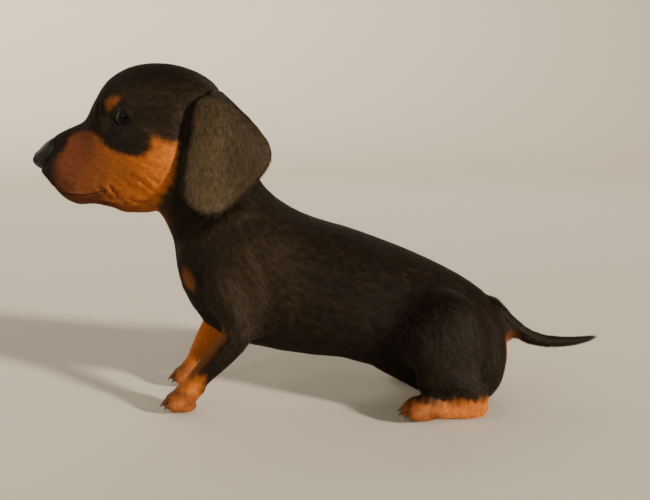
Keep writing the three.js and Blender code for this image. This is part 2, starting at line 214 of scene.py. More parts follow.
def rise(value, low, high):
    """0 below low, 1 above high and a soft step between."""
    share = np.clip((value - low) / (high - low), 0, 1)
    return share * share * (3 - 2 * share)


def fall(value, low, high):
    """1 below low, 0 above high and a soft step between."""
    return 1 - rise(value, low, high)


def one_side(points):
    """Points with both sides of the puppy laid on one, where y is above 0."""
    return np.abs(points * (0, 1, 0)) + points * (1, 0, 1)


def near(points, centre, reach):
    """1 at a place, falling to 0 around it, on both sides of the puppy alike."""
    x, y, z = (one_side(points) - centre).T
    return bell(np.hypot(np.hypot(x, y), z), reach)


# The feet: each has four toes on a broad pad, the outer two set back, given here by the x of the
# foremost tip and the y of the foot's middle. The claws are pieces of their own further on, so the
# cast takes each foot without them.
FEET = dict(zip(LEGS, ((-91, -26), (-95, 24), (44, -41), (44, 41))))
TOE = {"pitch": 5.8, "back": 3.2, "height": 4.0, "half": 2.4, "top": 12, "tip": 2.5}
FOOT = {"middle": 6, "stretch": 1.5, "reach": (10, 14), "height": (13, 18)}


def toes_of(foot):
    """Each toe's place across the foot, and where its tip lies."""
    x, y = FEET[foot]
    for place in (-1.5, -0.5, 0.5, 1.5):
        back = TOE["back"] if abs(place) > 1 else 0
        yield place, np.array([x + back, y + place * TOE["pitch"], TOE["height"]])


def without_claws(node):
    """A piece of flesh swollen by half a seam, its toes cut off at their tips."""
    points, faces = solid_points(node, SEAM)
    if node in FEET:
        for _, tip in toes_of(node):
            ahead = (np.abs(points[:, 1] - tip[1]) < TOE["half"]) & (points[:, 2] < TOE["top"])
            points[ahead, 0] = np.maximum(points[ahead, 0], tip[0] - TOE["tip"])
    return points, faces


def foot_share(points):
    """1 on a foot, falling to 0 above it."""
    share = np.zeros(len(points))
    for x, y in FEET.values():
        away = np.hypot((points[:, 0] - x - FOOT["middle"]) / FOOT["stretch"], points[:, 1] - y)
        share = np.maximum(share, fall(away, *FOOT["reach"]) * fall(points[:, 2], *FOOT["height"]))
    return share


# The cast: every piece of flesh swollen until the pieces join, with the eyes and nose filled in. It
# is smoothed where the legs fold on the body, and drawn in as deep as the coat stands, which is
# thinner on the face, the feet and the tail.
COAT_DEPTH = 1.3
THINNER = {"head": 0.4, "muzzle": 0.35, "eyes": 0.45, "feet": 0.5, "tail": 0.3}
HEAD_ENDS = {"back": (-92, -70), "below": (100, 118)}
MUZZLE_ENDS = (-146, -132)
TAIL_STARTS = (106, 125)
FACE = {"back": -96, "low": 108}
ROUND_EYE = (-112, 22, 167)
LEG_CREASES = (((-56, 36, 66), 18), ((58, 38, 55), 30))
LEG_FOLDS = (((-54, 36, 66), 26), ((58, 40, 52), 40))
THIGH_RIM = (((50, 42, 66), 20), ((36, 40, 50), 14), ((88, 40, 44), 18))
MOUTH_CORNER = (-142, 14, 126)
MUZZLE_MIDDLE = (-130, 16, 150)

eye_fill = [solid_points(node, LID_COVER) for node in ("eye_left", "eye_right")]
flesh_fill = [without_claws(node) for node in FLESH if node not in EARS]
cast = object_from("cast", *joined(flesh_fill + eye_fill + [solid_points("nose", SEAM)]))
grain = cast.modifiers.new("grain", "REMESH")
grain.mode = "VOXEL"
grain.voxel_size = CAST_GRAIN * MM
hide = Hide(main_body(finished_mesh(cast)))
cast_surface = hide.surface()


def under_cast():
    """How deep the skin of each point lies under the cast."""
    x, _, z = hide.points.T
    depth = np.full(len(x), COAT_DEPTH)
    depth -= THINNER["head"] * fall(x, *HEAD_ENDS["back"]) * rise(z, *HEAD_ENDS["below"])
    depth -= THINNER["muzzle"] * fall(x, *MUZZLE_ENDS)
    depth -= THINNER["eyes"] * near(hide.points, ROUND_EYE, 13)
    depth -= THINNER["feet"] * foot_share(hide.points)
    depth -= THINNER["tail"] * rise(x, *TAIL_STARTS)
    return SEAM + depth


def around(places):
    """The nearness of every point to a few places, each a centre and a reach."""
    return sum(near(hide.points, centre, reach) for centre, reach in places)


creases = around(LEG_CREASES)
hide.smooth(10)
hide.smooth(14, np.clip(creases, 0, 1) * (1 - foot_share(hide.points)))
hide.settle(cast_surface, under_cast())
hide.smooth(6)
hide.settle(cast_surface, under_cast())

face = (hide.points[:, 0] < FACE["back"]) & (hide.points[:, 2] > FACE["low"])
hide.refine(face | (foot_share(hide.points) > 0.3))
hide.smooth(6, np.where(hide.points[:, 0] < -93, 1.0, 0.6))
hide.settle(cast_surface, under_cast())
above_feet = (1 - foot_share(hide.points)) * (np.abs(hide.points[:, 1]) > 18)
hide.smooth(24, np.clip(around(LEG_FOLDS) * 1.3, 0, 1) * above_feet)
hide.smooth(50, np.clip(around(THIGH_RIM) * 1.4, 0, 1) * (np.abs(hide.points[:, 1]) > 20))
hide.refine(near(hide.points, MOUTH_CORNER, 14) > 0.4)
hide.smooth(3, near(hide.points, MUZZLE_MIDDLE, 60))
hide.write()

# The ears: two soft leaves of skin folded over in front, which grow out of the hide high on the
# skull and hang free of the neck. Each is thinned from its solid, its root is sunk into the skull
# and its front margin is drawn forward and stands a little off the cheek.
EAR_THINNED = 0.75
EAR_ROOT = {"reach": (2.6, 4.4), "sink": 2.0, "height": (166, 173), "inner": (-0.1, 0.5)}
MARGIN = {"width": 9.0, "forward": 3.8, "low": (116, 128), "high": (174, 181)}
OFF_CHEEK = {"off": 2.8, "width": (4, 22), "height": (160, 176)}
EAR_LEVELS = np.arange(118.0, 182.0, 4.0)
LEAF_SKIN = 0.02


def lowest(values, others, levels):
    """The lowest of some values among the points whose other value is near each level."""
    return [values[np.abs(others - level) < 3].min() for level in levels]


def ear_leaf(node, skull):
    """One ear's leaf of skin, from its solid."""
    made = object_from(node, *solid_points(node))
    plain = bmesh.new()
    plain.from_mesh(made.data)
    bmesh.ops.join_triangles(
        plain, faces=plain.faces, angle_face_threshold=0.7, angle_shape_threshold=0.9
    )
    plain.to_mesh(made.data)
    plain.free()
    made.modifiers.new("round", "SUBSURF").levels = 2
    leaf = Hide(finished_mesh(made))
    x, y, z = leaf.points.T
    behind = x - np.interp(z, EAR_LEVELS, lowest(x, z, EAR_LEVELS))
    margin = fall(behind, 0, MARGIN["width"]) * rise(z, *MARGIN["low"]) * fall(z, *MARGIN["high"])
    off_cheek = fall(behind, *OFF_CHEEK["width"]) * fall(z, *OFF_CHEEK["height"])
    leaf.points[:, 0] -= MARGIN["forward"] * margin
    leaf.points[:, 1] += np.sign(y) * OFF_CHEEK["off"] * off_cheek
    for index, (point, outward) in enumerate(zip(leaf.points.copy(), leaf.outward())):
        nearest, normal, _, away = skull.find_nearest(point)
        inner = rise(-np.dot(outward, normal), *EAR_ROOT["inner"])
        pull = inner * fall(away, *EAR_ROOT["reach"]) * rise(point[2], *EAR_ROOT["height"])
        sunk = np.array(nearest - normal * EAR_ROOT["sink"])
        leaf.points[index] += (sunk - point) * pull - outward * EAR_THINNED * (1 - pull)
    leaf.write()
    return leaf


skull = hide.surface()
leaf_surfaces = []
for node in EARS:
    leaf = ear_leaf(node, skull)
    leaf_surfaces.append(Hide(leaf.mesh).surface())
    whole = placed("whole", hide.mesh)
    union = whole.modifiers.new("ear", "BOOLEAN")
    union.operation = "UNION"
    union.solver = "MANIFOLD"
    union.object = leaf_object = placed(node + "_leaf", leaf.mesh)
    hide = Hide(finished_mesh(whole))
    bpy.data.objects.remove(leaf_object)

# Which solid each point of the hide belongs to: the nearest of them, but on an ear's leaf always the
# ear. Then the crease between each ear's root and the skull is evened out.
NAMES = FLESH + ("nose", "eye_left", "eye_right")
solid_shapes = [solid_points(node) for node in NAMES]
all_points, all_faces = joined(solid_shapes)
solids_surface = BVHTree.FromPolygons(all_points.tolist(), all_faces)
face_owner = np.repeat(np.arange(len(NAMES)), [len(faces) for _, faces in solid_shapes])
leaf_masks = [
    np.array([surface.find_nearest(point, LEAF_SKIN)[0] is not None for point in hide.points])
    for surface in leaf_surfaces
]


def owners():
    """The number of the solid that each point of the hide belongs to."""
    found = np.array([face_owner[solids_surface.find_nearest(point)[2]] for point in hide.points])
    for node, on_leaf in zip(EARS, leaf_masks):
        found[on_leaf] = NAMES.index(node)
    return found


def belongs(*nodes):
    return np.isin(owner, [NAMES.index(node) for node in nodes])


owner = owners()
in_ear = belongs(*EARS)
at_root = hide.mean(in_ear.astype(float), 3)
seam = np.clip(4 * at_root * (1 - at_root), 0, 1) * rise(hide.points[:, 2], 165, 171)
hide.smooth(8, np.clip(hide.mean(seam, 2) * 1.5, 0, 1))

# The face and folds, modelled in the hide: the lips' line, the wrinkles behind the mouth and the
# creases where neck and legs fold. A fold is a groove along a line, with skin heaped beside it: its
# line, width, depth and heap are given, and the points that it may reach where it ends early.
MOUTH_LINE = [
    (-161.0, 1.5, 129.0), (-157.4, 9.5, 127.6), (-154.2, 12.0, 125.8), (-148.6, 14.2, 124.8),
    (-142.4, 14.8, 123.8), (-136.2, 14.4, 123.5), (-130.0, 15.2, 124.8), (-124.0, 16.8, 127.0),
]
NECK_ROLL = [
    (-46.5, 26.2, 118.2), (-55.2, 29.2, 114.4), (-63.5, 29.9, 108.4), (-73.1, 27.4, 100.9),
    (-81.2, 21.1, 94.8),
]
EAR_CREASE = [
    (-77.5, 27.0, 178.8), (-72.5, 25.4, 180.6), (-68.0, 23.4, 181.4), (-62.5, 20.3, 181.6),
    (-57.2, 19.7, 180.8),
]
EAR_POCKET = np.array([
    (-76.5, 28.0, 174), (-76.6, 29.2, 168), (-78.4, 30, 158), (-80.6, 30, 148), (-82.4, 28.0, 138),
    (-82.6, 25.0, 130),
])
EAR_SWING = np.array([6.0, 0, 0])
SWELLINGS = {
    "above the brow": ((-115, 20, 177), 6.0, 0.7),
    "before the eye": ((-126, 14, 166), 6.0, -0.5),
    "upper lip": ((-141, 17, 131), 6.5, 0.7),
    "cheek": ((-104, 22, 140), 9.0, 0.6),
}
SLACK = {"place": (-114, 17, 126), "reach": 13, "height": 0.16}


def line_distance(points, line):
    """How far each point is from a row of places."""
    line = np.array(line, float)
    best = np.full(len(points), 1e9)
    for start, end in zip(line[:-1], line[1:]):
        run = end - start
        share = np.clip(((points - start) @ run) / (run @ run), 0, 1)
        best = np.minimum(best, np.linalg.norm(points - start - share[:, None] * run, axis=1))
    return best


def off_line(line):
    """How far each point of the hide is from a line that both sides have."""
    return line_distance(one_side(hide.points), line)


def fold(line, width, depth, heap=0, only=1):
    """Presses a groove into the hide along a line, on both sides alike."""
    away = off_line(line)
    press = bell(away, width) - heap * bell(away - 2 * width, width)
    hide.push(-press * only * depth)


for centre, reach, lift in SWELLINGS.values():
    hide.push(near(hide.points, centre, reach) * lift)
x, _, z = hide.points.T
ripple = np.sin(0.62 * x + 0.75 * z) + np.sin(0.5 * x - 0.9 * z)
hide.push(SLACK["height"] * near(hide.points, SLACK["place"], SLACK["reach"]) * ripple)

below_ears = belongs("neck", "torso", "foreleg_left", "foreleg_right")
FOLDS = {
    "before the lids": ([
        (-127.4, 12.8, 174.2), (-127.6, 14.3, 169.0), (-126.0, 15.7, 164.9), (-123.3, 17.1, 160.9),
        (-118.2, 19.6, 158.4), (-112, 22.6, 157.4),
    ], 1.3, 0.6, 0.6),
    "mouth": (MOUTH_LINE, 0.8, 1.7, 0.5),
    "mouth's corner": ([(-126.5, 16.4, 127.4), (-124.4, 16.6, 124.6), (-122.4, 15.8, 122.2)], 1.6, 0.6, 0.6),
    "behind the mouth": ([
        (-122.0, 16.6, 128.6), (-119.2, 16.8, 125.8), (-117.4, 16.2, 122.8), (-113.6, 14.6, 119.6),
    ], 1.6, 0.6, 0.6),
    "jaw": ([(-112.8, 17.0, 121.8), (-108.6, 16.6, 120.2), (-103.6, 15.8, 119.4)], 1.6, 0.6, 0.6),
    "front of cheek": ([(-106.8, 24.0, 137.0), (-102.4, 24.4, 133.6), (-98.4, 24.0, 129.0)], 1.5, 0.35, 0.8),
    "back of cheek": ([(-101.6, 25.0, 140.0), (-97.4, 25.2, 136.6), (-93.8, 24.8, 131.6)], 1.5, 0.35, 0.8),
    "under the jaw": ([(-126.0, 10.0, 119.6), (-120.7, 10.9, 117.6), (-115.0, 9.0, 113.6)], 1.4, 1.1, 0.6),
    "above the lip": ([(-148.0, 14.4, 130.8), (-141.0, 15.4, 130.0), (-134.0, 15.8, 131.4)], 1.4, 0.3, 0.5),
    "above the roll": ([(x, y * 0.98, z + 6.4) for x, y, z in NECK_ROLL], 4.4, 2.2, 0, below_ears),
    "roll of the neck": (NECK_ROLL, 4.2, -1.7, 0, below_ears),
    "root of the ear": (EAR_CREASE, 1.6, 0.6),
    "shoulder": ([(-40, 34, 97), (-34, 36, 84), (-31, 38.5, 68), (-30, 38, 52)], 4.0, 1.0, 0.3),
    "breast": ([(-66, 27, 92), (-68, 29, 80), (-64, 33, 70), (-58, 37, 58)], 3.0, 0.9, 0.3),
    "elbow": ([(-60.4, 38.7, 70.3), (-53.3, 40.3, 60.5), (-49.1, 39.8, 49.1)], 1.8, 0.8, 0.3),
    "front of flank": ([(24.9, 36.4, 62.4), (22.8, 36, 53), (20.6, 34.9, 44.9)], 4.4, 0.6),
    "back of flank": ([(36, 35.1, 62.1), (33.5, 36, 55), (30.6, 36.0, 48.1)], 4.0, 0.35),
    "under the left ear": (EAR_POCKET, 4.0, 0.9, 0, ~in_ear & (hide.points[:, 1] < 0)),
    "under the right ear": (EAR_POCKET - EAR_SWING, 4.0, 0.9, 0, ~in_ear & (hide.points[:, 1] > 0)),
    "knee": ([(56.9, 47.7, 56.8), (59.5, 50.1, 46.3)], 2.4, 0.5, 0.3),
}
for sizes in FOLDS.values():
    fold(*sizes)

# The toes, modelled in each foot: the paw is full, with a knuckle over every toe and a groove
# between it and the next that runs over the foot's top and down to the pads.
PAW_FILL = {"lift": 0.9, "height": (1.0, 3.5)}
KNUCKLE = {"from_tip": (4.5, 0, 3.4), "stretch": (1.5, 1, 1), "reach": 2.4, "lift": 0.8}
TOE_GROOVE = ((9, 0, 5.6), (3, 0, 4.4), (-0.6, 0, 2.6), (-2.2, 0, -0.6), (-1.6, 0, -3.2))
for foot, (_, middle) in FEET.items():
    own_side = np.sign(hide.points[:, 1]) == np.sign(middle)
    own = own_side * foot_share(hide.points) * belongs(foot)
    hide.push(PAW_FILL["lift"] * own * rise(hide.points[:, 2], *PAW_FILL["height"]))
    toes = [tip for _, tip in toes_of(foot)]
    for tip in toes:
        off_knuckle = (hide.points - tip - KNUCKLE["from_tip"]) / KNUCKLE["stretch"]
        hide.push(bell(np.linalg.norm(off_knuckle, axis=1), KNUCKLE["reach"]) * own * KNUCKLE["lift"])
    for first, second in zip(toes[:-1], toes[1:]):
        fold(one_side((first + second) / 2 + np.array(TOE_GROOVE)), 1.0, 1.6, 0.35, own)

# The skin round the nose comes up to the pad's border, which runs from the bridge down and forward
# to the lip, and is sunk out of the way in front of it.
NOSE = {
    "place": (-158.6, 0, 144.9), "deep": 9.6, "wide": 8.7, "high": 7.4, "lean": 0.9, "spread": 0.14,
    "crest": 10.0, "mean": 7.0,
}
NOSE_BORDER = ((136, -163.4), (139, -161.8), (143, -157.6), (148, -154.6), (153, -153.2))
BORDER = {"width": 0.8, "rise": 0.4, "beside": (1.5, 5.0), "end": -146}
UNDER_PAD = {"depth": 1.6, "further": 5.0, "ahead": (1.5, 5)}


def off_nose():
    """How far each point of the hide is from the nose."""
    size = (NOSE["deep"], NOSE["deep"], NOSE["high"])
    return NOSE["mean"] * (np.linalg.norm((hide.points - NOSE["place"]) / size, axis=1) - 1)


def past_border():
    """How far each point of the hide lies behind the border of the nose."""
    return hide.points[:, 0] - np.interp(hide.points[:, 2], *zip(*NOSE_BORDER))


behind_border = rise(past_border(), -BORDER["width"], BORDER["width"])
beside_nose = fall(off_nose(), *BORDER["beside"]) * (hide.points[:, 0] < BORDER["end"])
under_pad = UNDER_PAD["depth"] + UNDER_PAD["further"] * rise(-past_border(), *UNDER_PAD["ahead"])
hide.push((BORDER["rise"] * behind_border - under_pad * (1 - behind_border)) * beside_nose)

# The lids: two thin folds of skin that close over each eyeball to an almond opening, with a crease
# above the upper one. Behind the opening the skin is sunk into the socket.
EYE_SET = np.array([-1.8, -0.5, 0.0])
EYE_RADIUS = 8.9
EYE_AXIS = np.array([-0.43, 0.90, 0.04])
UPPER_LID = ((7.6, 0.4), (7.8, 6.8), (-1.0, 5.9), (-7.7, -1.1))
LOWER_LID = ((-7.7, -1.1), (-3.8, -5.0), (6.4, -6.5), (7.6, 0.4))
LID_FORM = {"thick": 1.0, "edge": 0.5, "sunk": 2.2, "crease": 0.5, "reach": 16}


def bent_line(bow, count):
    """Points along a bow given by its two ends and the two places that pull it."""
    share = np.linspace(0, 1, count)[:, None]
    rest = 1 - share
    a, b, c, d = (np.array(place) for place in bow)
    return a * rest**3 + 3 * b * share * rest**2 + 3 * c * share**2 * rest + d * share**3


def lid_line(count):
    """The opening of the lids as a closed line, seen from straight ahead of the eye."""
    return np.concatenate([bent_line(bow, count)[:-1] for bow in (UPPER_LID, LOWER_LID)])


def eye_frame(side):
    """The eye's centre and its ways forward, up and out."""
    centre = (EYE + EYE_SET) * (1, side, 1)
    out = EYE_AXIS / np.linalg.norm(EYE_AXIS) * (1, side, 1)
    forward = np.cross((0, 0, 1), out) * side
    forward /= np.linalg.norm(forward)
    up = np.cross(out, forward) * side
    return centre, np.stack([forward, up, out])


def inside(line, points):
    """Whether flat points lie inside a closed line."""
    within = np.zeros(len(points), bool)
    for (x0, y0), (x1, y1) in zip(line, np.roll(line, -1, axis=0)):
        if y0 == y1:
            continue
        crosses = (y0 > points[:, 1]) != (y1 > points[:, 1])
        within ^= crosses & (points[:, 0] < (x1 - x0) * (points[:, 1] - y0) / (y1 - y0) + x0)
    return within


def edge_distance(line, points):
    """How far flat points lie outside a closed line, or inside it as a negative number."""
    away = line_distance(points, np.concatenate([line, line[:1]]))
    return np.where(inside(line, points), -away, away)


for side in (-1, 1):
    centre, ways = eye_frame(side)
    local = (hide.points - centre) @ ways.T
    about = (local[:, 2] > 0) & (np.linalg.norm(local, axis=1) < LID_FORM["reach"]) & ~in_ear
    seen = local[about]
    edge = edge_distance(lid_line(25), seen[:, :2])
    radius = np.linalg.norm(seen, axis=1)
    lifted = np.maximum(radius, EYE_RADIUS + LID_FORM["thick"] * rise(edge, -0.2, 1.0))
    radius += (lifted - radius) * fall(edge, 1.6, 4.0)
    above = LID_FORM["crease"] * rise(seen[:, 1], -1, 2)
    radius += above * (0.6 * bell(edge - 4.4, 1.0) - bell(edge - 2.9, 0.7))
    in_opening = EYE_RADIUS + LID_FORM["edge"] - LID_FORM["sunk"] * rise(-edge, -0.1, 0.9)
    radius = np.where(edge < 0.1, in_opening, radius)
    hide.points[about] = centre + (seen / np.linalg.norm(seen, axis=1)[:, None] * radius[:, None]) @ ways
hide.write()

# The lie of the coat. It runs back from the nose over the skull and down the ears, neck and chest,
# along the back to the tail and down the legs to the toes. Each pair gives a place on the part and
# the way the hair lies there, with y away from the middle of the puppy.
LIE = {
    "head": (
        ((-163, 4, 151), (0.8, 0.3, 0.5)), ((-150, 5, 160), (1.0, 0.1, 0.25)),
        ((-154, 12, 138), (0.9, 0.3, -0.3)), ((-150, 12, 124), (0.9, 0.1, -0.25)),
        ((-137, 4, 167), (0.6, 0.2, 0.75)), ((-128, 5, 182), (0.5, 0.2, 0.85)),
        ((-132, 15, 150), (0.95, 0.25, -0.15)), ((-122, 16, 177), (0.5, 0.5, 0.75)),
        ((-122, 15, 160), (0.85, 0.4, -0.35)), ((-110, 5, 196), (0.9, 0.15, 0.35)),
        ((-94, 6, 198), (1.0, 0.15, 0.0)), ((-74, 6, 194), (0.9, 0.15, -0.4)),
        ((-103, 26, 180), (0.9, 0.3, 0.3)), ((-102, 28, 158), (0.95, 0.2, -0.2)),
        ((-88, 30, 142), (0.85, 0.1, -0.5)), ((-112, 18, 124), (0.9, 0.0, -0.35)),
        ((-132, 2, 116), (1.0, 0.0, -0.05)), ((-76, 28, 168), (0.75, 0.3, -0.6)),
    ),
    "ear_left": (
        ((-62, 30, 178), (0.15, 0.5, -0.9)), ((-60, 37, 160), (0.05, 0.05, -1.0)),
        ((-45, 34, 166), (0.45, 0.1, -0.9)), ((-58, 36, 130), (0.02, 0.0, -1.0)),
        ((-72, 34, 140), (-0.12, 0.0, -1.0)),
    ),
    "neck": (
        ((-50, 20, 160), (0.6, 0.1, -0.8)), ((-60, 25, 128), (0.5, 0.1, -0.85)),
        ((-86, 10, 104), (0.15, 0.2, -1.0)),
    ),
    "torso": (
        ((-84, 10, 82), (0.15, 0.4, -0.9)), ((-76, 24, 76), (0.5, 0.3, -0.8)),
        ((-70, 5, 52), (0.6, 0.1, -0.8)), ((-48, 32, 100), (0.6, 0.1, -0.75)),
        ((-28, 20, 120), (0.85, 0.2, -0.5)), ((0, 8, 107), (1.0, 0.1, -0.25)),
        ((40, 8, 92), (1.0, 0.1, -0.35)), ((76, 8, 75), (0.9, 0.1, -0.5)),
        ((-12, 38, 78), (0.85, 0.0, -0.5)), ((24, 38, 62), (0.8, 0.0, -0.6)),
        ((8, 28, 38), (0.85, -0.3, -0.4)), ((8, 2, 30), (1.0, 0.0, 0.0)),
        ((94, 12, 60), (0.6, 0.3, -0.75)), ((104, 8, 40), (0.1, 0.1, -1.0)),
    ),
    "hindleg_left": (
        ((76, 45, 56), (0.5, 0.1, -0.85)), ((52, 48, 44), (0.25, 0.0, -0.95)),
        ((74, 47, 24), (0.7, 0.0, -0.5)), ((92, 42, 10), (-0.3, 0.0, -0.95)),
        ((56, 41, 10), (-1.0, 0.0, -0.15)),
    ),
    "foreleg_left": (
        ((-56, 38, 74), (0.1, 0.1, -1.0)), ((-44, 38, 52), (-0.3, 0.0, -0.95)),
        ((-58, 36, 36), (-0.65, 0.0, -0.75)), ((-72, 32, 22), (-0.8, 0.0, -0.6)),
        ((-88, 27, 9), (-1.0, 0.0, -0.2)),
    ),
    "tail": (
        ((100, 6, 52), (0.75, 0.0, -0.65)), ((121, 6, 38), (0.95, 0.0, -0.3)),
        ((149, 7, 34), (1.0, 0.1, 0.05)),
    ),
}
OTHER_PARTS = 0.02
outward = hide.outward()
owner = owners()
sides = np.where(hide.points[:, 1] < 0, -1.0, 1.0)
mirror = np.stack([np.ones(len(sides)), sides, np.ones(len(sides))], 1)
lie = np.zeros_like(hide.points)
for part, guides in LIE.items():
    weight = np.where(belongs(part, part.replace("left", "right")), 1.0, OTHER_PARTS)
    for place, way in guides:
        away = np.linalg.norm(one_side(hide.points) - place, axis=1)
        lie += mirror * way / np.linalg.norm(way) * (weight / (away + 3) ** 3.5)[:, None]
for _ in range(12):
    lie = 0.4 * lie + 0.6 * hide.mean(lie)
    lie -= outward * (lie * outward).sum(1)[:, None]
    lie /= np.linalg.norm(lie, axis=1, keepdims=True) + 1e-9

# How long and how close the hair stands. It is shortest on the muzzle, round the eyes and on the
# feet. There is none on the nose, in the eyes, on the lips' edges or where the puppy rests. Where a
# pair is given, the second number is what the hair gains from the end of that part to its root.
HAIR = {
    "body": 5.2, "ear": 4.2, "chest": -0.8, "head": (2.2, 1.6), "muzzle": 1.5, "foreleg": (2.6, 1.6),
    "hindleg": (2.6, 2.4),
}
GROWS = {"chest": (60, 85), "head": (-125, -80), "foreleg": (24, 60), "hindleg": (14, 36)}
SHORTEST_TO = -138
SHORTER = {"eyes": 0.62, "feet": 0.4, "thigh_top": 0.5, "ear_crease": 0.6, "nose": 0.65}
THIGH_TOP = (56, 40, 68)
x, y, z = hide.points.T
head_part = belongs("head", "nose", "eye_left", "eye_right")
neck_part = belongs("neck", "torso")
fore_part = belongs("foreleg_left", "foreleg_right")
hind_part = belongs("hindleg_left", "hindleg_right")


def graded(pair, share):
    """A number that starts at the first of a pair and gains the second."""
    return pair[0] + pair[1] * share


length = np.where(in_ear, HAIR["ear"], HAIR["body"])
length += HAIR["chest"] * neck_part * rise(-x, *GROWS["chest"])
length = np.where(head_part, graded(HAIR["head"], rise(x, *GROWS["head"])), length)
length = np.where(head_part & (x < SHORTEST_TO), HAIR["muzzle"], length)
length = np.where(fore_part, graded(HAIR["foreleg"], rise(z, *GROWS["foreleg"])), length)
length = np.where(hind_part, graded(HAIR["hindleg"], rise(z, *GROWS["hindleg"])), length)
length = hide.mean(length, 8)
from_nose = off_nose()
length *= 1 - SHORTER["eyes"] * near(hide.points, ROUND_EYE, 12)
length *= 1 - SHORTER["feet"] * foot_share(hide.points)
length *= 1 - SHORTER["thigh_top"] * near(hide.points, THIGH_TOP, 13)
length *= 1 - SHORTER["nose"] * fall(from_nose, 0.5, 6)
length *= 1 - SHORTER["ear_crease"] * bell(off_line(EAR_CREASE), 5)

opening = np.full(len(x), 20.0)
for side in (-1, 1):
    centre, ways = eye_frame(side)
    local = (hide.points - centre) @ ways.T
    beside = (local[:, 2] > 0) & (np.linalg.norm(local, axis=1) < LID_FORM["reach"])
    opening = np.where(beside, edge_distance(lid_line(25), local[:, :2]), opening)
bare = np.maximum(fall(past_border(), -0.2, 0.5) * (from_nose < 3), fall(opening, 0.5, 1.1))
off_lips = off_line(MOUTH_LINE)
lips = bell(off_lips, 0.8 + 0.5 * fall(x, -150, -136)) * (x < -122)
resting = fall(z, 1.6, 3.0) * rise(-outward[:, 2], 0.3, 0.7)
dense = np.clip(1 - bare, 0, 1) * (1 - 0.8 * lips) * (1 - resting)

# The markings: black over all, with deep tan on the muzzle and cheeks up to the ears, a spot over
# each eye, two on the breast, the paws, the insides of the legs and under the tail. Each is read
# part of a hair's length ahead, because the hair carries it back over the skin.
AHEAD = 0.5
CHEEK_TAN = np.array([
    (-146.5, 150.6), (-145.6, 154.9), (-142.6, 158.0), (-138.6, 159.8), (-134.0, 160.6), (-130.4, 159.6),
    (-127.5, 157.6), (-124.4, 154.9), (-121.4, 152.3), (-117.6, 149.9), (-112.8, 148.0), (-108.0, 147.3),
    (-104.3, 146.8), (-100.2, 147.5), (-96.4, 149.2), (-94.4, 151.9), (-94.1, 155.1), (-94.1, 157.3),
    (-91.9, 157.5), (-89.1, 156.2), (-86.5, 155.1), (-83.3, 154.6), (-80.4, 154.3), (-80.6, 150.2),
    (-81.2, 145.8), (-82.6, 139.0), (-84.6, 132.8), (-87.4, 128.4), (-91.0, 124.2), (-92.2, 119.9),
    (-94.0, 114.5), (-97.0, 104.0), (-180.0, 104.0), (-180.0, 139.0), (-159.0, 140.0), (-153.0, 145.0),
])
BROW_TAN = np.array([
    (-121.2, 172.4), (-122.2, 176.0), (-119.0, 178.6), (-115.0, 179.2), (-112.2, 178.2), (-114.2, 175.4),
    (-117.4, 172.8), (-119.6, 171.2),
])
BEFORE_EYE = np.array([
    (-124.6, 167.1), (-120.6, 168.4), (-117.6, 166.1), (-117.6, 161.7), (-121.0, 160.0), (-124.1, 162.2),
])
BEHIND_EYE = np.array([
    (-103.4, 163.6), (-98.6, 164.4), (-92.3, 161.8), (-88.4, 158.4), (-91.5, 156.8), (-97.3, 159.0),
])
BREAST_SPOT = (-77.5, 22, 77)
UNDER_TAIL = (106, 0, 34)
THROAT = (-96, 10, 110)
SHOULDER = (-42, 36, 80)
CHEEK_ENDS = {"back": (-97, -90), "below": (116, 122), "front": (-158, -147), "nose": (0.5, 5.5), "neck": -88}
BRIDGE = {"half": (1.5, 6.5), "height": (138, 146)}
BROW_BACK = -108
TAN_UP_TO = {
    "paw": (19, 27), "shin": (44, 58), "inside foreleg": (50, 64), "hind foot": (10, 15),
    "inside hindleg": (26, 36),
}
STRENGTH = {"brow": 0.8, "breast": 0.66, "thigh": 0.8, "under_tail": 0.9, "throat": 0.35, "lips": 0.85}
REACH = {
    "breast": 7.5, "under_tail": 10, "throat": 7, "shoulder": 28, "neck_roll": 7.0, "breast_rust": 14,
}
SHIN_BY_SIDE = (0.35, 0.65)
ahead = hide.points + lie * (AHEAD * length)[:, None]
x, y, z = ahead.T
wander = 0.8 * np.sin(0.9 * x + 0.4 * z) * np.sin(0.7 * z - 0.5 * x + 0.3 * y)


def patch_of(outline, low, high, ragged=1):
    """A marking inside an outline of the side view, with a soft, ragged edge."""
    return rise(-edge_distance(outline, ahead[:, [0, 2]]) + ragged * wander, low, high)


low_behind = rise(x, *CHEEK_ENDS["back"]) * fall(z, *CHEEK_ENDS["below"])
cheek = patch_of(CHEEK_TAN, -1.4, 2.2) * (1 - low_behind)
cheek *= ~in_ear * rise(x, *CHEEK_ENDS["front"]) * rise(from_nose, *CHEEK_ENDS["nose"])
bridge = rise(np.abs(y), *BRIDGE["half"]) + fall(z, *BRIDGE["height"])
cheek = np.minimum(cheek, bridge) * (head_part | (x < CHEEK_ENDS["neck"]))
brow = patch_of(BROW_TAN, -1.8, 1.8, 0.3) * (head_part & (x < BROW_BACK)) * STRENGTH["brow"]
breast = rise(near(ahead, BREAST_SPOT, REACH["breast"]) + 0.08 * wander, 0.25, 0.85)
breast = breast * neck_part * STRENGTH["breast"]
inner = rise(-outward[:, 1] * sides, 0.1, 0.6)
paw = fall(z + 2 * wander + 12 * np.clip(outward[:, 0], 0, 1), *TAN_UP_TO["paw"])
shin = rise(-outward[:, 0] + 0.8 * inner, 0.25, 0.75) * fall(z, *TAN_UP_TO["shin"])
shin *= graded(SHIN_BY_SIDE, y > 0)
foreleg = np.maximum.reduce([paw, shin, inner * fall(z, *TAN_UP_TO["inside foreleg"])]) * fore_part
thigh = inner * fall(z, *TAN_UP_TO["inside hindleg"]) * STRENGTH["thigh"]
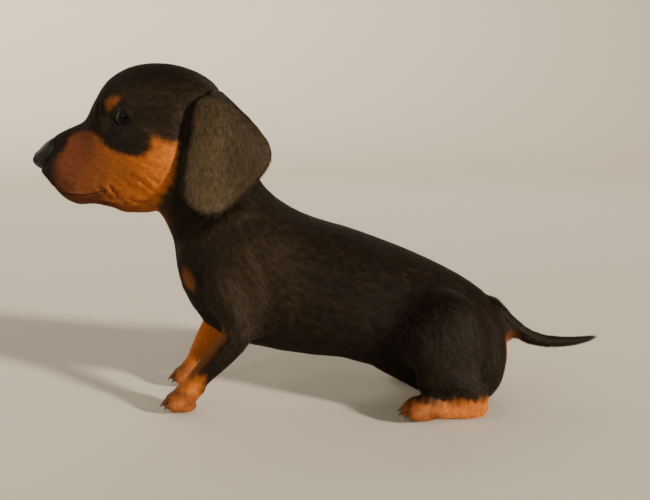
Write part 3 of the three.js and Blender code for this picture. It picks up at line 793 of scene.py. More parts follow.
hindleg = np.maximum(fall(z + 2 * wander, *TAN_UP_TO["hind foot"]), thigh) * hind_part
under_tail = rise(near(ahead, UNDER_TAIL, REACH["under_tail"]), 0.25, 0.7) * STRENGTH["under_tail"]
throat = near(ahead, THROAT, REACH["throat"]) * STRENGTH["throat"] * ~in_ear
tan = np.clip(np.maximum.reduce([cheek, brow, breast, foreleg, hindleg, under_tail, throat]), 0, 1)
# The hair along the lips turns black, the lips' own colour, and wider at the front of the mouth as painted
# shade.
lip_black_and_shade = bell(off_lips, 1.3 + 1.6 * fall(x, -156, -140)) * (1 - 0.5 * rise(x, -140, -124))
tan *= 1 - STRENGTH["lips"] * lip_black_and_shade * (x < -121)

# The grizzle and painted sheen: pale grey-brown tips on the black hairs. Before and behind each eye they
# are the coat's own grizzle. On the outer face of the ears, brighter at the front and fading at the top,
# on the skull's side, the shoulder and the roll of the neck they are painted sheen where these catch light.
GRIZZLE_AND_SHEEN_SHARES = {"eyes": 0.5, "ears": (0.78, -0.4), "skull": 0.16, "shoulder": 0.26, "neck_roll": 0.16}
round_eyes = np.maximum(patch_of(BEFORE_EYE, -2.6, 3.4), patch_of(BEHIND_EYE, -2.4, 2.4))
greys_and_sheen = [
    GRIZZLE_AND_SHEEN_SHARES["eyes"] * round_eyes * (head_part & (x > -128)) * rise(opening, 1.0, 3.0),
    GRIZZLE_AND_SHEEN_SHARES["skull"] * head_part * rise(x, -122, -110) * fall(z, 178, 194),
    GRIZZLE_AND_SHEEN_SHARES["shoulder"] * near(ahead, SHOULDER, REACH["shoulder"]) * ~in_ear,
    GRIZZLE_AND_SHEEN_SHARES["neck_roll"] * bell(off_line(NECK_ROLL), REACH["neck_roll"]) * neck_part,
]
for own in (in_ear & (y < 0), in_ear & (y >= 0)):
    levels = np.linspace(z[own].min() + 2, z[own].max() - 2, 24)
    columns = np.linspace(x[own].min() + 2, x[own].max() - 2, 18)
    from_front = x - np.interp(z, levels, lowest(x[own], z[own], levels))
    from_foot = z - np.interp(x, columns, lowest(z[own], x[own], columns))
    outer_face = rise(outward[:, 1] * sides, 0.1, 0.6) * rise(np.minimum(from_front, from_foot), 2, 6)
    greys_and_sheen.append(graded(GRIZZLE_AND_SHEEN_SHARES["ears"], rise(x, -62, -42)) * own * outer_face * fall(z, 176, 182))
grizzle = np.maximum.reduce(greys_and_sheen)

# The rust and painted shade: where the tan turns a deeper red. Over the muzzle and on the breast this is
# the tan's own colour, on the paws and under the chin it is partly painted shade, and in the hollows of
# the skin it is painted shade. Then all that the coat's finish reads is kept on the hide.
RUST_AND_SHADE_ENDS = {"back": (-138, -98), "chin": (116, 126)}
RUST_AND_SHADE_SHARES = {"feet": 0.7, "breast": 0.5, "chin": 0.3}
# Painted shade: the hollows of the skin, by how far each point lies under its neighbours, take the deeper
# red.
hollow = ((hide.mean(hide.points, 2) - hide.points) * outward).sum(1)
rust = fall(x, *RUST_AND_SHADE_ENDS["back"]) * head_part + RUST_AND_SHADE_SHARES["feet"] * foot_share(hide.points)
rust = rust + RUST_AND_SHADE_SHARES["breast"] * near(ahead, BREAST_SPOT, REACH["breast_rust"])
rust += RUST_AND_SHADE_SHARES["chin"] * fall(z, *RUST_AND_SHADE_ENDS["chin"]) * head_part + rise(hide.mean(hollow, 2), 0.01, 0.12)
soles = rise(-outward[:, 2], 0.2, 0.7) * foot_share(hide.points) * fall(z, 3.5, 5.5)


def lay(mesh, name, values, kind="FLOAT", domain="POINT"):
    """Keeps a value for each point of a mesh, or for each corner or face."""
    kept = mesh.attributes.new(name, kind, domain)
    number = np.int32 if kind == "INT" else np.float32
    kept.data.foreach_set("vector" if kind == "FLOAT_VECTOR" else "value", values.astype(number).ravel())


lay(hide.mesh, "tan", tan)
lay(hide.mesh, "rust", np.clip(rust, 0, 1))
lay(hide.mesh, "grizzle", grizzle)
lay(hide.mesh, "dark", np.clip(np.maximum.reduce([bare, lips, soles]), 0, 1))
lay(hide.mesh, "length", length)
lay(hide.mesh, "dense", dense)
lay(hide.mesh, "lie", lie, "FLOAT_VECTOR")
lay(hide.mesh, "out", outward, "FLOAT_VECTOR")

# The pattern: the hide cut and laid flat, part by part, round a line through each part. It gives
# each tuft of hair its own place on one flat map. The right side's legs and ear have lines of their
# own, because they are posed apart from the left's.
TRUNK_LINE = [
    (-168, 0, 143), (-150, 0, 140), (-138, 0, 141), (-126, 0, 147), (-110, 0, 154), (-94, 0, 156),
    (-80, 0, 148), (-70, 0, 134), (-64, 0, 118), (-54, 0, 100), (-36, 0, 80), (0, 0, 66), (40, 0, 56),
    (70, 0, 42), (92, 0, 34), (112, 0, 30),
]
HINDLEG_LINE = np.array([(92, 27, 60), (70, 36, 48), (56, 40, 32), (70, 40, 14), (38, 41, 4)])
TAIL_LINE = [(86, 0, 64), (100, 0, 53.5), (110, 0.4, 45), (121, 1.4, 37.6), (134, 3, 34), (165, 8, 35)]
LEFT_TILE, RIGHT_TILE = (0.62, 0.8), (0.81, 0.99)
CUTS = (
    (("head", "neck", "torso", "nose", "eye_left", "eye_right"), TRUNK_LINE, (0.01, 0.6, 0.02, 0.98)),
    (("ear_left",), [(-62, -30, 190), (-56, -33, 150), (-62, -31, 110)], (*LEFT_TILE, 0.02, 0.32)),
    (("ear_right",), [(-68, 30, 190), (-62, 33, 150), (-68, 31, 110)], (*RIGHT_TILE, 0.02, 0.32)),
    (("foreleg_left",), [(-56, -24, 96), (-54, -30, 72), (-45, -33, 50), (-70, -30, 23), (-96, -26, 4)],
     (*LEFT_TILE, 0.34, 0.64)),
    (("foreleg_right",), [(-56, 24, 96), (-56, 30, 72), (-62, 33, 50), (-78, 28, 23), (-100, 24, 4)],
     (*RIGHT_TILE, 0.34, 0.64)),
    (("hindleg_left",), HINDLEG_LINE * (1, -1, 1), (*LEFT_TILE, 0.66, 0.96)),
    (("hindleg_right",), HINDLEG_LINE, (*RIGHT_TILE, 0.66, 0.9)),
    (("tail",), TAIL_LINE, (*RIGHT_TILE, 0.91, 0.99)),
)
TILE_SLACK = 1.06


def laid_flat(points, line):
    """How far along a line each point lies, and its angle round it, both from 0 to 1."""
    line = np.array(line, float)
    runs = np.diff(line, axis=0)
    lengths = np.linalg.norm(runs, axis=1)
    starts = np.concatenate([[0], np.cumsum(lengths)])
    best = np.full(len(points), 1e9)
    along = np.zeros(len(points))
    angle = np.zeros(len(points))
    for number, (start, run, long) in enumerate(zip(line, runs, lengths)):
        share = np.clip(((points - start) @ run) / long**2, 0, 1)
        offset = points - start - share[:, None] * run
        away = np.linalg.norm(offset, axis=1)
        closer = away < best
        best = np.where(closer, away, best)
        way = run / long
        across = np.cross(way, (0, 0, 1))
        across /= np.linalg.norm(across)
        above = np.cross(across, way)
        along = np.where(closer, starts[number] + share * long, along)
        angle = np.where(closer, np.arctan2(offset @ across, offset @ above) / (2 * math.pi) + 0.5, angle)
    return along / starts[-1], angle


flat = np.zeros((len(hide.points), len(CUTS), 2))
part_of = np.zeros(len(NAMES), int)
for number, (parts, line, _) in enumerate(CUTS):
    flat[:, number] = np.stack(laid_flat(hide.points, line), 1)
    for part in parts:
        part_of[NAMES.index(part)] = number
starts = rows_of(hide.mesh.polygons, "loop_start", 1, np.int32).ravel()
totals = rows_of(hide.mesh.polygons, "loop_total", 1, np.int32).ravel()
corners = rows_of(hide.mesh.loops, "vertex_index", 1, np.int32).ravel()
first_corner = corners[starts]
corner_part = np.repeat(part_of[owner[first_corner]], totals)
along, angle = flat[corners, corner_part].T
turned = np.maximum.reduceat(angle, starts) - np.minimum.reduceat(angle, starts) > 0.5
angle = angle + (np.repeat(turned, totals) & (angle < 0.5))
left, right, low, high = np.array([tile for _, _, tile in CUTS])[corner_part].T
root_place = [left + (right - left) * along, low + (high - low) * angle / TILE_SLACK, np.zeros(len(corners))]
lay(hide.mesh, "root", np.stack(root_place, 1), "FLOAT_VECTOR", "CORNER")

# The coat's pieces, each a part of the body that is combed on its own: where it lies on the hide, how
# many tufts stand on a square millimetre there, and how wide each one is.
MUZZLE_END = -122
MIDDLE = 2
x, y, _ = hide.points.T
TORSO_TUFTS = (4.2, 0.21)
COATS = {
    "muzzle_coat": (belongs("head", "nose") & (x < MUZZLE_END), 9.0, 0.16),
    "skull_coat": (belongs("head", "eye_left", "eye_right") & (x >= MUZZLE_END), 5.8, 0.19),
    "neck_coat": (belongs("neck"), 5.2, 0.22),
    "left_shoulder_coat": (belongs("torso") & (y < 0) & (x < MIDDLE), *TORSO_TUFTS),
    "right_shoulder_coat": (belongs("torso") & (y >= 0) & (x < MIDDLE), *TORSO_TUFTS),
    "left_flank_coat": (belongs("torso") & (y < 0) & (x >= MIDDLE), *TORSO_TUFTS),
    "right_flank_coat": (belongs("torso") & (y >= 0) & (x >= MIDDLE), *TORSO_TUFTS),
    "foreleg_coat": (fore_part, 5.0, 0.22),
    "hindleg_coat": (hind_part, 4.2, 0.23),
    "left_ear_coat": (belongs("ear_left"), 6.4, 0.2),
    "right_ear_coat": (belongs("ear_right"), 6.4, 0.2),
    "tail_coat": (belongs("tail"), 5.0, 0.22),
}
combed = np.zeros(len(x), int)
for number, (where, _, _) in enumerate(COATS.values()):
    combed[where] = number
lay(hide.mesh, "patch", combed[first_corner], "INT", "FACE")


# The finish of the coat, on the hide and on every hair alike: near black with a brown cast, grey-brown
# tips where grizzle and painted sheen are marked and painted glints on a few hairs, and deep tan with paler
# and darker hairs through it, deeper red where rust and painted shade are marked. The hide is drawn darker
# than the hair, as painted shade between the hairs.
class Signal:
    """One output of a node, with sums and products written as they are read."""

    def __init__(self, bench, socket):
        self.bench = bench
        self.socket = socket

    def worked(self, operation, *values):
        return self.bench.add("ShaderNodeMath", {"operation": operation}, dict(enumerate(values)))["Value"]

    def __add__(self, other):
        return self.worked("ADD", self, other)

    def __radd__(self, other):
        return self.worked("ADD", other, self)

    def __sub__(self, other):
        return self.worked("SUBTRACT", self, other)

    def __rsub__(self, other):
        return self.worked("SUBTRACT", other, self)

    def __mul__(self, other):
        return self.worked("MULTIPLY", self, other)

    def __rmul__(self, other):
        return self.worked("MULTIPLY", other, self)


class Outputs:
    """A node's outputs, by name or by number."""

    def __init__(self, bench, node):
        self.bench = bench
        self.node = node

    def __getitem__(self, name):
        return Signal(self.bench, self.node.outputs[name])


class Bench:
    """A node tree under construction."""

    def __init__(self, tree):
        self.tree = tree

    def add(self, kind, settings=None, sockets=None):
        """A node of a kind. Its settings are made first, then its sockets get values or links."""
        node = self.tree.nodes.new(kind)
        for name, value in (settings or {}).items():
            if name == "stops":
                ramp = node.color_ramp.elements
                while len(ramp) < len(value):
                    ramp.new(0.5)
                for element, (position, colour) in zip(ramp, value):
                    element.position = position
                    element.color = colour
            else:
                setattr(node, name, value)
        for name, value in (sockets or {}).items():
            if isinstance(value, Signal):
                self.tree.links.new(value.socket, node.inputs[name])
            else:
                node.inputs[name].default_value = value
        return Outputs(self, node)

    def blended(self, share, first, second):
        """Two colours mixed."""
        return self.add("ShaderNodeMix", {"data_type": "RGBA"}, {0: share, 6: first, 7: second})[2]

    def mark(self, name, output="Fac"):
        """What was kept on the piece under a name."""
        return self.add("ShaderNodeAttribute", {"attribute_name": name})[output]

    def noise(self, place, scale, detail):
        """A soft random pattern."""
        sockets = {"Vector": place, "Scale": scale, "Detail": detail}
        return self.add("ShaderNodeTexNoise", None, sockets)["Fac"]

    def body(self):
        """Places on the piece itself."""
        return self.add("ShaderNodeTexCoord")["Object"]

    def surface(self, sockets):
        """Ends a material with a surface of the given values."""
        surface = self.add("ShaderNodeBsdfPrincipled", None, sockets)
        self.add("ShaderNodeOutputMaterial", None, {"Surface": surface["BSDF"]})


def new_finish(name):
    """A material and its empty bench."""
    material = bpy.data.materials.new(name)
    material.use_nodes = True
    material.node_tree.nodes.clear()
    return material, Bench(material.node_tree)


BLACK_ROOT = (0.0022, 0.0014, 0.0010, 1)
BLACK_TIP = (0.0058, 0.0035, 0.0023, 1)
BROWN_CAST_AND_GLINT_TIP = (0.0280, 0.0170, 0.0092, 1)
TAN_ROOT = (0.22, 0.062, 0.014, 1)
TAN_TIP = (0.69, 0.208, 0.030, 1)
RUST_AND_SHADE_ROOT = (0.060, 0.016, 0.0045, 1)
RUST_AND_SHADE_TIP = (0.20, 0.062, 0.023, 1)
# The pale grey-brown of the grizzle, also used as painted sheen.
GRIZZLE_AND_SHEEN = (0.130, 0.092, 0.054, 1)
LIP_BLACK = (0.0065, 0.0050, 0.0045, 1)


def coat_colour(bench, tint, along):
    """The hair's colour from the marking under it, its own tint and the way along it."""
    full = 0.25 + 0.75 * (along * tint)
    black = bench.blended(along * tint, BLACK_ROOT, BLACK_TIP)
    # A few hairs end in brown: the coat's brown cast, and painted glints.
    black = bench.blended(0.35 * (along * tint * tint * tint), black, BROWN_CAST_AND_GLINT_TIP)
    # Grey-brown tips: grizzle round the eyes, painted sheen on the ears, skull, shoulder and neck roll.
    black = bench.blended(bench.mark("grizzle") * full, black, GRIZZLE_AND_SHEEN)
    # The deeper red: the tan's own colour in places, painted shade in others.
    rust = bench.blended(full, RUST_AND_SHADE_ROOT, RUST_AND_SHADE_TIP)
    brown = bench.blended(bench.mark("rust"), bench.blended(full, TAN_ROOT, TAN_TIP), rust)
    return bench.blended(bench.mark("tan"), black, brown)


hair_finish, bench = new_finish("hair")
tint = bench.mark("tint")
bench.surface({
    "Base Color": coat_colour(bench, 0.4 + 1.2 * tint, 0.3 + 0.6 * bench.mark("along")),
    "Roughness": 0.50 + 0.2 * tint,
    "Specular IOR Level": 0.14,
})

hide_finish, bench = new_finish("hide")
body = bench.body()
fluff = bench.noise(body, 900.0, 3.0)
dark = bench.mark("dark")
# The hide takes the coat's colours at a lower tint and nearer the root, darker than the hair, as painted
# shade between the hairs.
under = coat_colour(bench, 0.25 + 0.6 * fluff, 0.2 + 0.6 * bench.noise(body, 60.0, 2.0))
down = bench.add("ShaderNodeBump", None, {"Strength": 0.6, "Distance": 0.0004, "Height": fluff})
bench.surface({
    "Base Color": bench.blended(dark, under, LIP_BLACK),
    "Roughness": 0.62 - 0.25 * dark,
    "Specular IOR Level": 0.22,
    "Normal": down["Normal"],
})

hide.mesh.materials.clear()
hide.mesh.materials.append(hide_finish)
hide.mesh.shade_smooth()
hide.mesh.polygons.foreach_set("material_index", np.zeros(len(hide.mesh.polygons), np.int32))
puppy_hide = placed("hide", hide.mesh)
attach(puppy_hide, "root")
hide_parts(*FLESH)

# The hair: short flat tufts, each a narrow blade that leaves the skin at a low slant and bends
# back along it. Geometry Nodes set them over the hide by the comb's direction, length and number.
BLADE_POINTS = np.array([(0, -0.5, 0), (0, 0.5, 0), (0.55, -0.4, 0.13), (0.55, 0.4, 0.13), (1.0, 0, 0.12)])
COMB = {"Slant": 0.05, "Stray": 0.18, "Clumps": 420.0}
ROOTS_SEED = 11
RANDOM = {
    "tint": (0.0, 1.0, 3), "roll": (-0.35, 0.35, 5), "lift": (-1.6, -0.4, 6), "swing": (-1.0, 1.0, 7),
    "length": (0.7, 1.25, 8), "width": (0.7, 1.3, 9),
}
ROOT_PATCH = 0.003
OFF_FLOOR = 0.1 * MM
blade_mesh = bpy.data.meshes.new("blade")
blade_mesh.from_pydata(BLADE_POINTS.tolist(), [], [(0, 2, 3, 1), (2, 4, 3)])
lay(blade_mesh, "along", BLADE_POINTS[:, 0])
lay(blade_mesh, "spot", BLADE_POINTS * (1, 1, 0) + (0, 0.5, 0), "FLOAT_VECTOR")
blade = placed("blade", blade_mesh)


def coat_tree():
    """Tufts over one patch of a hide."""
    tree = bpy.data.node_groups.new("coat", "GeometryNodeTree")
    panel = tree.interface
    panel.new_socket("Geometry", in_out="INPUT", socket_type="NodeSocketGeometry")
    for name, kind in (("Patch", "Int"), ("Closeness", "Float"), ("Width", "Float"), ("Slant", "Float"),
                       ("Stray", "Float"), ("Clumps", "Float"), ("Blade", "Object"), ("Finish", "Material")):
        panel.new_socket(name, in_out="INPUT", socket_type="NodeSocket" + kind)
    panel.new_socket("Geometry", in_out="OUTPUT", socket_type="NodeSocketGeometry")
    bench = Bench(tree)
    given = bench.add("NodeGroupInput")

    def named(name, kind="FLOAT"):
        return bench.add("GeometryNodeInputNamedAttribute", {"data_type": kind}, {"Name": name})["Attribute"]

    def random(name):
        sockets = dict(zip((2, 3, "Seed"), RANDOM[name]))
        return bench.add("FunctionNodeRandomValue", {"data_type": "FLOAT"}, sockets)[1]

    def spaced(x, y, z):
        return bench.add("ShaderNodeCombineXYZ", None, {"X": x, "Y": y, "Z": z})["Vector"]

    def place():
        return bench.add("GeometryNodeInputPosition")["Position"]

    mine = bench.add("FunctionNodeCompare", {"data_type": "INT", "operation": "EQUAL"}, {
        2: named("patch", "INT"), 3: given["Patch"],
    })["Result"]
    points = bench.add("GeometryNodeDistributePointsOnFaces", None, {
        "Mesh": given["Geometry"], "Selection": mine, "Density": given["Closeness"] * named("dense"),
        "Seed": ROOTS_SEED,
    })["Points"]
    shade = 0.7 * random("tint") + 2.2 * (bench.noise(place(), given["Clumps"], 2.0) - 0.5) + 0.15
    tinted = bench.add("GeometryNodeStoreNamedAttribute", {"data_type": "FLOAT", "domain": "POINT"}, {
        "Geometry": points, "Name": "tint",
        "Value": bench.add("ShaderNodeClamp", None, {"Value": shade})["Result"],
    })["Geometry"]
    lying = bench.add("FunctionNodeAxesToRotation", {"primary_axis": "Z", "secondary_axis": "X"}, {
        "Primary Axis": named("out", "FLOAT_VECTOR"), "Secondary Axis": named("lie", "FLOAT_VECTOR"),
    })["Rotation"]
    turn = spaced(random("roll"), given["Slant"] * random("lift"), given["Stray"] * random("swing"))
    bent = bench.add("FunctionNodeEulerToRotation", None, {"Euler": turn})["Rotation"]
    stood = bench.add("FunctionNodeRotateRotation", {"rotation_space": "LOCAL"}, {
        "Rotation": lying, "Rotate By": bent,
    })["Rotation"]
    long = named("length") * MM * random("length")
    wide = given["Width"] * random("width")
    tufts = bench.add("GeometryNodeInstanceOnPoints", None, {
        "Points": tinted, "Rotation": stood, "Scale": spaced(long, wide, long),
        "Instance": bench.add("GeometryNodeObjectInfo", None, {"Object": given["Blade"]})["Geometry"],
    })["Instances"]
    solid = bench.add("GeometryNodeRealizeInstances", None, {"Geometry": tufts})["Geometry"]
    stands = bench.add("ShaderNodeSeparateXYZ", None, {"Vector": place()})
    height = stands["Z"].worked("MAXIMUM", stands["Z"], OFF_FLOOR)
    solid = bench.add("GeometryNodeSetPosition", None, {
        "Geometry": solid, "Position": spaced(stands["X"], stands["Y"], height),
    })["Geometry"]
    spread = bench.add("ShaderNodeVectorMath", {"operation": "SCALE"}, {
        0: named("spot", "FLOAT_VECTOR"), "Scale": ROOT_PATCH,
    })["Vector"]
    mapped = bench.add("ShaderNodeVectorMath", {"operation": "ADD"}, {
        0: named("root", "FLOAT_VECTOR"), 1: spread,
    })["Vector"]
    laid = bench.add("GeometryNodeStoreNamedAttribute", {"data_type": "FLOAT2", "domain": "CORNER"}, {
        "Geometry": solid, "Name": "OFBake", "Value": mapped,
    })["Geometry"]
    dressed = bench.add("GeometryNodeSetMaterial", None, {"Geometry": laid, "Material": given["Finish"]})
    bench.add("NodeGroupOutput", None, {"Geometry": dressed["Geometry"]})
    return tree


COAT_TREE = coat_tree()
for number, (name, (_, closeness, wide)) in enumerate(COATS.items()):
    carrier = placed(name, hide.mesh.copy())
    grow = carrier.modifiers.new("grow", "NODES")
    grow.node_group = COAT_TREE
    sizes = COMB | {
        "Patch": number, "Closeness": closeness / MM**2, "Width": wide * MM, "Blade": blade,
        "Finish": hair_finish,
    }
    for socket in COAT_TREE.interface.items_tree:
        if socket.in_out == "INPUT" and socket.name in sizes:
            grow[socket.identifier] = sizes[socket.name]
    mesh = finished_mesh(carrier)
    for extra in ("root", "spot", "length", "dense", "lie", "out", "patch", "dark"):
        if extra in mesh.attributes:
            mesh.attributes.remove(mesh.attributes[extra])
    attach(placed(name, mesh), "root")
bpy.data.objects.remove(blade)

# The eyes: wet globes of a dark brown iris with a black pupil, the clear front standing a little
# proud, set in their sockets under the lids.
CORNEA = {"lift": 0.45, "reach": (2.0, 6.2)}
IRIS_STOPS = (
    (0.40, (0.0012, 0.0010, 0.0010, 1)),
    (0.44, (0.0040, 0.0022, 0.0014, 1)),
    (0.62, (0.0052, 0.0029, 0.0018, 1)),
    (0.72, (0.0022, 0.0016, 0.0013, 1)),
    (0.90, (0.0044, 0.0034, 0.0030, 1)),
)


def ball_grid(rows, columns):
    """Points of a unit ball from pole to pole along X, and its faces."""
    tilt = np.linspace(0, math.pi, rows + 1)[1:-1]
    turn = np.linspace(0, 2 * math.pi, columns, endpoint=False)
    rings = [np.repeat(np.cos(tilt), columns)]
    rings += [np.outer(np.sin(tilt), wave(turn)).ravel() for wave in (np.cos, np.sin)]
    points = np.concatenate([[(1, 0, 0)], np.stack(rings, 1), [(-1, 0, 0)]])
    last = len(points) - 1
    faces = []
    for column in range(columns):
        beside = (column + 1) % columns
        faces.append((0, 1 + column, 1 + beside))
        faces.append((last, last - columns + beside, last - columns + column))
        for row in range(rows - 2):
            ring, under = 1 + row * columns, 1 + (row + 1) * columns
            faces.append((ring + column, under + column, under + beside, ring + beside))
    return points, faces


def made_piece(name, points, faces, finish, slot=None):
    """A finished piece that rides on the puppy, its faces turned outward."""
    first = np.array([face[:3] for face in faces])
    a, b, c = (points[first[:, corner]] for corner in range(3))
    if (np.cross(a - points.mean(0), b - points.mean(0)) * (c - points.mean(0))).sum() < 0:
        faces = [face[::-1] for face in faces]
    piece = object_from(name, points, faces)
    piece.data.materials.append(finish)
    piece.data.shade_smooth()
    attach(piece, "root")
    return piece


eye_finish, bench = new_finish("eye")
fibres = bench.noise(bench.mark("iris", "Vector"), 9.0, 3.0)
from_pupil = bench.mark("from_pupil") + 0.05 * (fibres - 0.5)
bench.surface({
    "Base Color": bench.add("ShaderNodeValToRGB", {"stops": IRIS_STOPS}, {"Fac": from_pupil})["Color"],
    "Roughness": 0.05,
    "Specular IOR Level": 0.1,
})
for name, node, side in (("left_eyeball", "eye_left", -1), ("right_eyeball", "eye_right", 1)):
    centre, (forward, up, out) = eye_frame(side)
    unit, faces = ball_grid(64, 72)
    off_axis = np.hypot(unit[:, 1], unit[:, 2]) * EYE_RADIUS
    front = unit[:, 0] > 0
    radius = EYE_RADIUS + CORNEA["lift"] * fall(off_axis, *CORNEA["reach"]) * front
    globe = centre + (unit * radius[:, None]) @ np.stack([out, forward, up])
    eyeball = made_piece(name, globe, faces, eye_finish, "eyeball")
    turn = unit[:, 1:] / (np.linalg.norm(unit[:, 1:], axis=1, keepdims=True) + 1e-9)
    lay(eyeball.data, "from_pupil", np.where(front, off_axis / EYE_RADIUS, 1.0))
    lay(eyeball.data, "iris", np.column_stack([turn, 0.1 * off_axis]), "FLOAT_VECTOR")
    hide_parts(node)

# The rims of the lids: a moist dark edge that follows the opening of each eye, with the small
# lobe of flesh in its front corner.
RIM = {"radius": 0.38, "above": 0.3}
LOBE = {"size": (0.9, 0.6, 0.6), "from_corner": (-0.7, -0.1), "under": 0.1}


def swept(line, radii, columns, above, loop=False):
    """A tube along a line of places, closed on itself or at both its ends."""
    line = np.array(line, float)
    ways = np.roll(line, -1, axis=0) - np.roll(line, 1, axis=0) if loop else np.gradient(line, axis=0)
    across = np.cross(ways, above)
    across /= np.linalg.norm(across, axis=1, keepdims=True)
    over = np.cross(across, ways)
    over /= np.linalg.norm(over, axis=1, keepdims=True)
    turn = np.linspace(0, 2 * math.pi, columns, endpoint=False)[:, None]
    spokes = across[:, None] * np.cos(turn) + over[:, None] * np.sin(turn)
    points = (line[:, None] + spokes * np.reshape(radii, (-1, 1, 1))).reshape(-1, 3)
    faces = []
    for row in range(len(line) if loop else len(line) - 1):
        ring, under = row * columns, (row + 1) % len(line) * columns
        for column in range(columns):
            beside = (column + 1) % columns
            faces.append((ring + column, ring + beside, under + beside, under + column))
    if not loop:
        points = np.concatenate([points, line[:1], line[-1:]])
        root, tip = len(points) - 2, len(points) - 1
        for column in range(columns):
            beside = (column + 1) % columns
            faces.append((root, beside, column))
            faces.append((tip, tip - 1 - columns + column, tip - 1 - columns + beside))
    return points, faces


rim_finish, bench = new_finish("moist_rim")
bench.surface({"Base Color": LIP_BLACK, "Roughness": 0.4, "Specular IOR Level": 0.2})
for name, side in (("left_lid_rim", -1), ("right_lid_rim", 1)):
    centre, ways = eye_frame(side)
    edge = lid_line(41)
    height = np.sqrt((EYE_RADIUS + RIM["above"]) ** 2 - (edge**2).sum(1))
    rim_line = np.column_stack([edge, height]) @ ways + centre
    rim = swept(rim_line, np.full(len(edge), RIM["radius"]), 10, ways[2], loop=True)
    lobe_points, lobe_faces = ball_grid(14, 16)
    corner = np.add(UPPER_LID[0], LOBE["from_corner"])
    lobe_place = (*corner, math.sqrt((EYE_RADIUS - LOBE["under"]) ** 2 - corner @ corner))
    if side < 0:
        lobe_faces = [face[::-1] for face in lobe_faces]
    lobe = (centre + (lobe_points * LOBE["size"] + lobe_place) @ ways, lobe_faces)
    made_piece(name, *joined([rim, lobe]), rim_finish, "nose_leather")

# The nose: a pad of bare pebbled leather, black and moist, with a groove down its middle and a
# comma-shaped nostril on each side that runs back into a slit under its wing. Inside, the nostrils are
# near black and dull as painted shade.
NOSTRIL = [
    (-166.6, 3.2, 144.6), (-166.0, 4.8, 143.5), (-164.4, 7.0, 142.6), (-161.6, 9.0, 142.9),
    (-159.6, 9.8, 144.0),
]
NOSTRIL_WIDE = (1.5, -0.95)
NOSTRIL_DEEP = (5.0, -3.9)
NOSTRIL_RIM = {"lift": 0.45, "place": 1.9, "width": 0.7}
NOSE_HEART = (-156.0, 0, 143.6)
NOSE_BLACK = (0.0022, 0.0019, 0.0020, 1)
NOSE_WORN = (0.0070, 0.0060, 0.0058, 1)
NOSTRIL_SHADE_BLACK = (0.0008, 0.0006, 0.0006, 1)
GROOVE = {"depth": 0.7, "width": 0.55}
unit, faces = ball_grid(120, 150)
deep, across, high = unit.T
narrowing = (1 + 0.4 * np.minimum(high, 0.4)) * (1 + NOSE["spread"] * deep)
half_height = np.where(high > 0, NOSE["crest"] * (1 + 0.5 * np.minimum(deep, 0.25)), NOSE["high"])
pad = NOSE["place"] + np.column_stack([
    NOSE["deep"] * deep + NOSE["lean"] * high,
    NOSE["wide"] * np.sign(across) * np.abs(across) ** 0.85 * narrowing,
    half_height * high + 1.2 * deep,
])
inward = NOSE_HEART - pad
inward /= np.linalg.norm(inward, axis=1, keepdims=True)
along_slit = rise(one_side(pad)[:, 1], 4.4, 7.0)
from_slit = line_distance(one_side(pad), NOSTRIL) / graded(NOSTRIL_WIDE, along_slit)
carve = graded(NOSTRIL_DEEP, along_slit) * np.exp(-(from_slit**2.6))
carve -= NOSTRIL_RIM["lift"] * bell(from_slit - NOSTRIL_RIM["place"], NOSTRIL_RIM["width"])
carve += GROOVE["depth"] * bell(pad[:, 1], GROOVE["width"]) * fall(pad[:, 2], 143, 147) * fall(deep, -0.5, 0)
pad += inward * carve[:, None]

nose_finish, bench = new_finish("nose_leather")
body = bench.body()
pebbles = bench.add("ShaderNodeTexVoronoi", {"feature": "SMOOTH_F1"}, {"Vector": body, "Scale": 1500.0})
wear = bench.noise(body, 700.0, 3.0)
relief = bench.add("ShaderNodeBump", None, {
    "Strength": 0.7, "Distance": 0.00022, "Height": 1 - pebbles["Distance"] + 0.3 * wear,
})
within = bench.mark("within")
bench.surface({
    "Base Color": bench.blended(within, bench.blended(wear, NOSE_BLACK, NOSE_WORN), NOSTRIL_SHADE_BLACK),
    "Roughness": 0.34 + 0.2 * wear + 0.4 * within,
    "Specular IOR Level": 0.28,
    "Normal": relief["Normal"],
})
# Painted shade: the deep inside of each nostril, near black and almost without reflection.
nostril_finish, bench = new_finish("nostril")
bench.surface({"Base Color": NOSTRIL_SHADE_BLACK, "Roughness": 0.9, "Specular IOR Level": 0.02})
nose_pad = made_piece("nose_pad", pad, faces, nose_finish, "nose_leather")
within_nostril = np.clip(np.exp(-(from_slit**4)) * (1 - 0.6 * along_slit), 0, 1)
lay(nose_pad.data, "within", within_nostril)
nose_pad.data.materials.append(nostril_finish)
for polygon in nose_pad.data.polygons:
    polygon.material_index = int(min(within_nostril[list(polygon.vertices)]) > 0.5)
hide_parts("nose")

# The claws: dark curved cones of horn, one on each toe and a small dewclaw inside each foreleg.
# Each grows from under a fold of skin on top of the toe and curves down ahead of it.
CLAW = {"reach": 4.3, "drop": 2.0, "radius": 1.1, "root": (0.9, 0, 2.0)}
DEWCLAW = {"back": 15, "height": 17.2, "off": 16, "root": (1.0, 0, 0.6), "size": 0.6}


def claw(root, way, size=1.0):
    """A claw that grows one way from its root."""
    share = np.linspace(0, 1, 9)
    line = root + np.outer(share * CLAW["reach"] * size, way)
    line[:, 2] += size * (0.5 * np.sin(share * math.pi) - CLAW["drop"] * share**1.8)
    return swept(line, size * CLAW["radius"] * (1 - share**1.6 * 0.82), 10, (0, 1, 0))


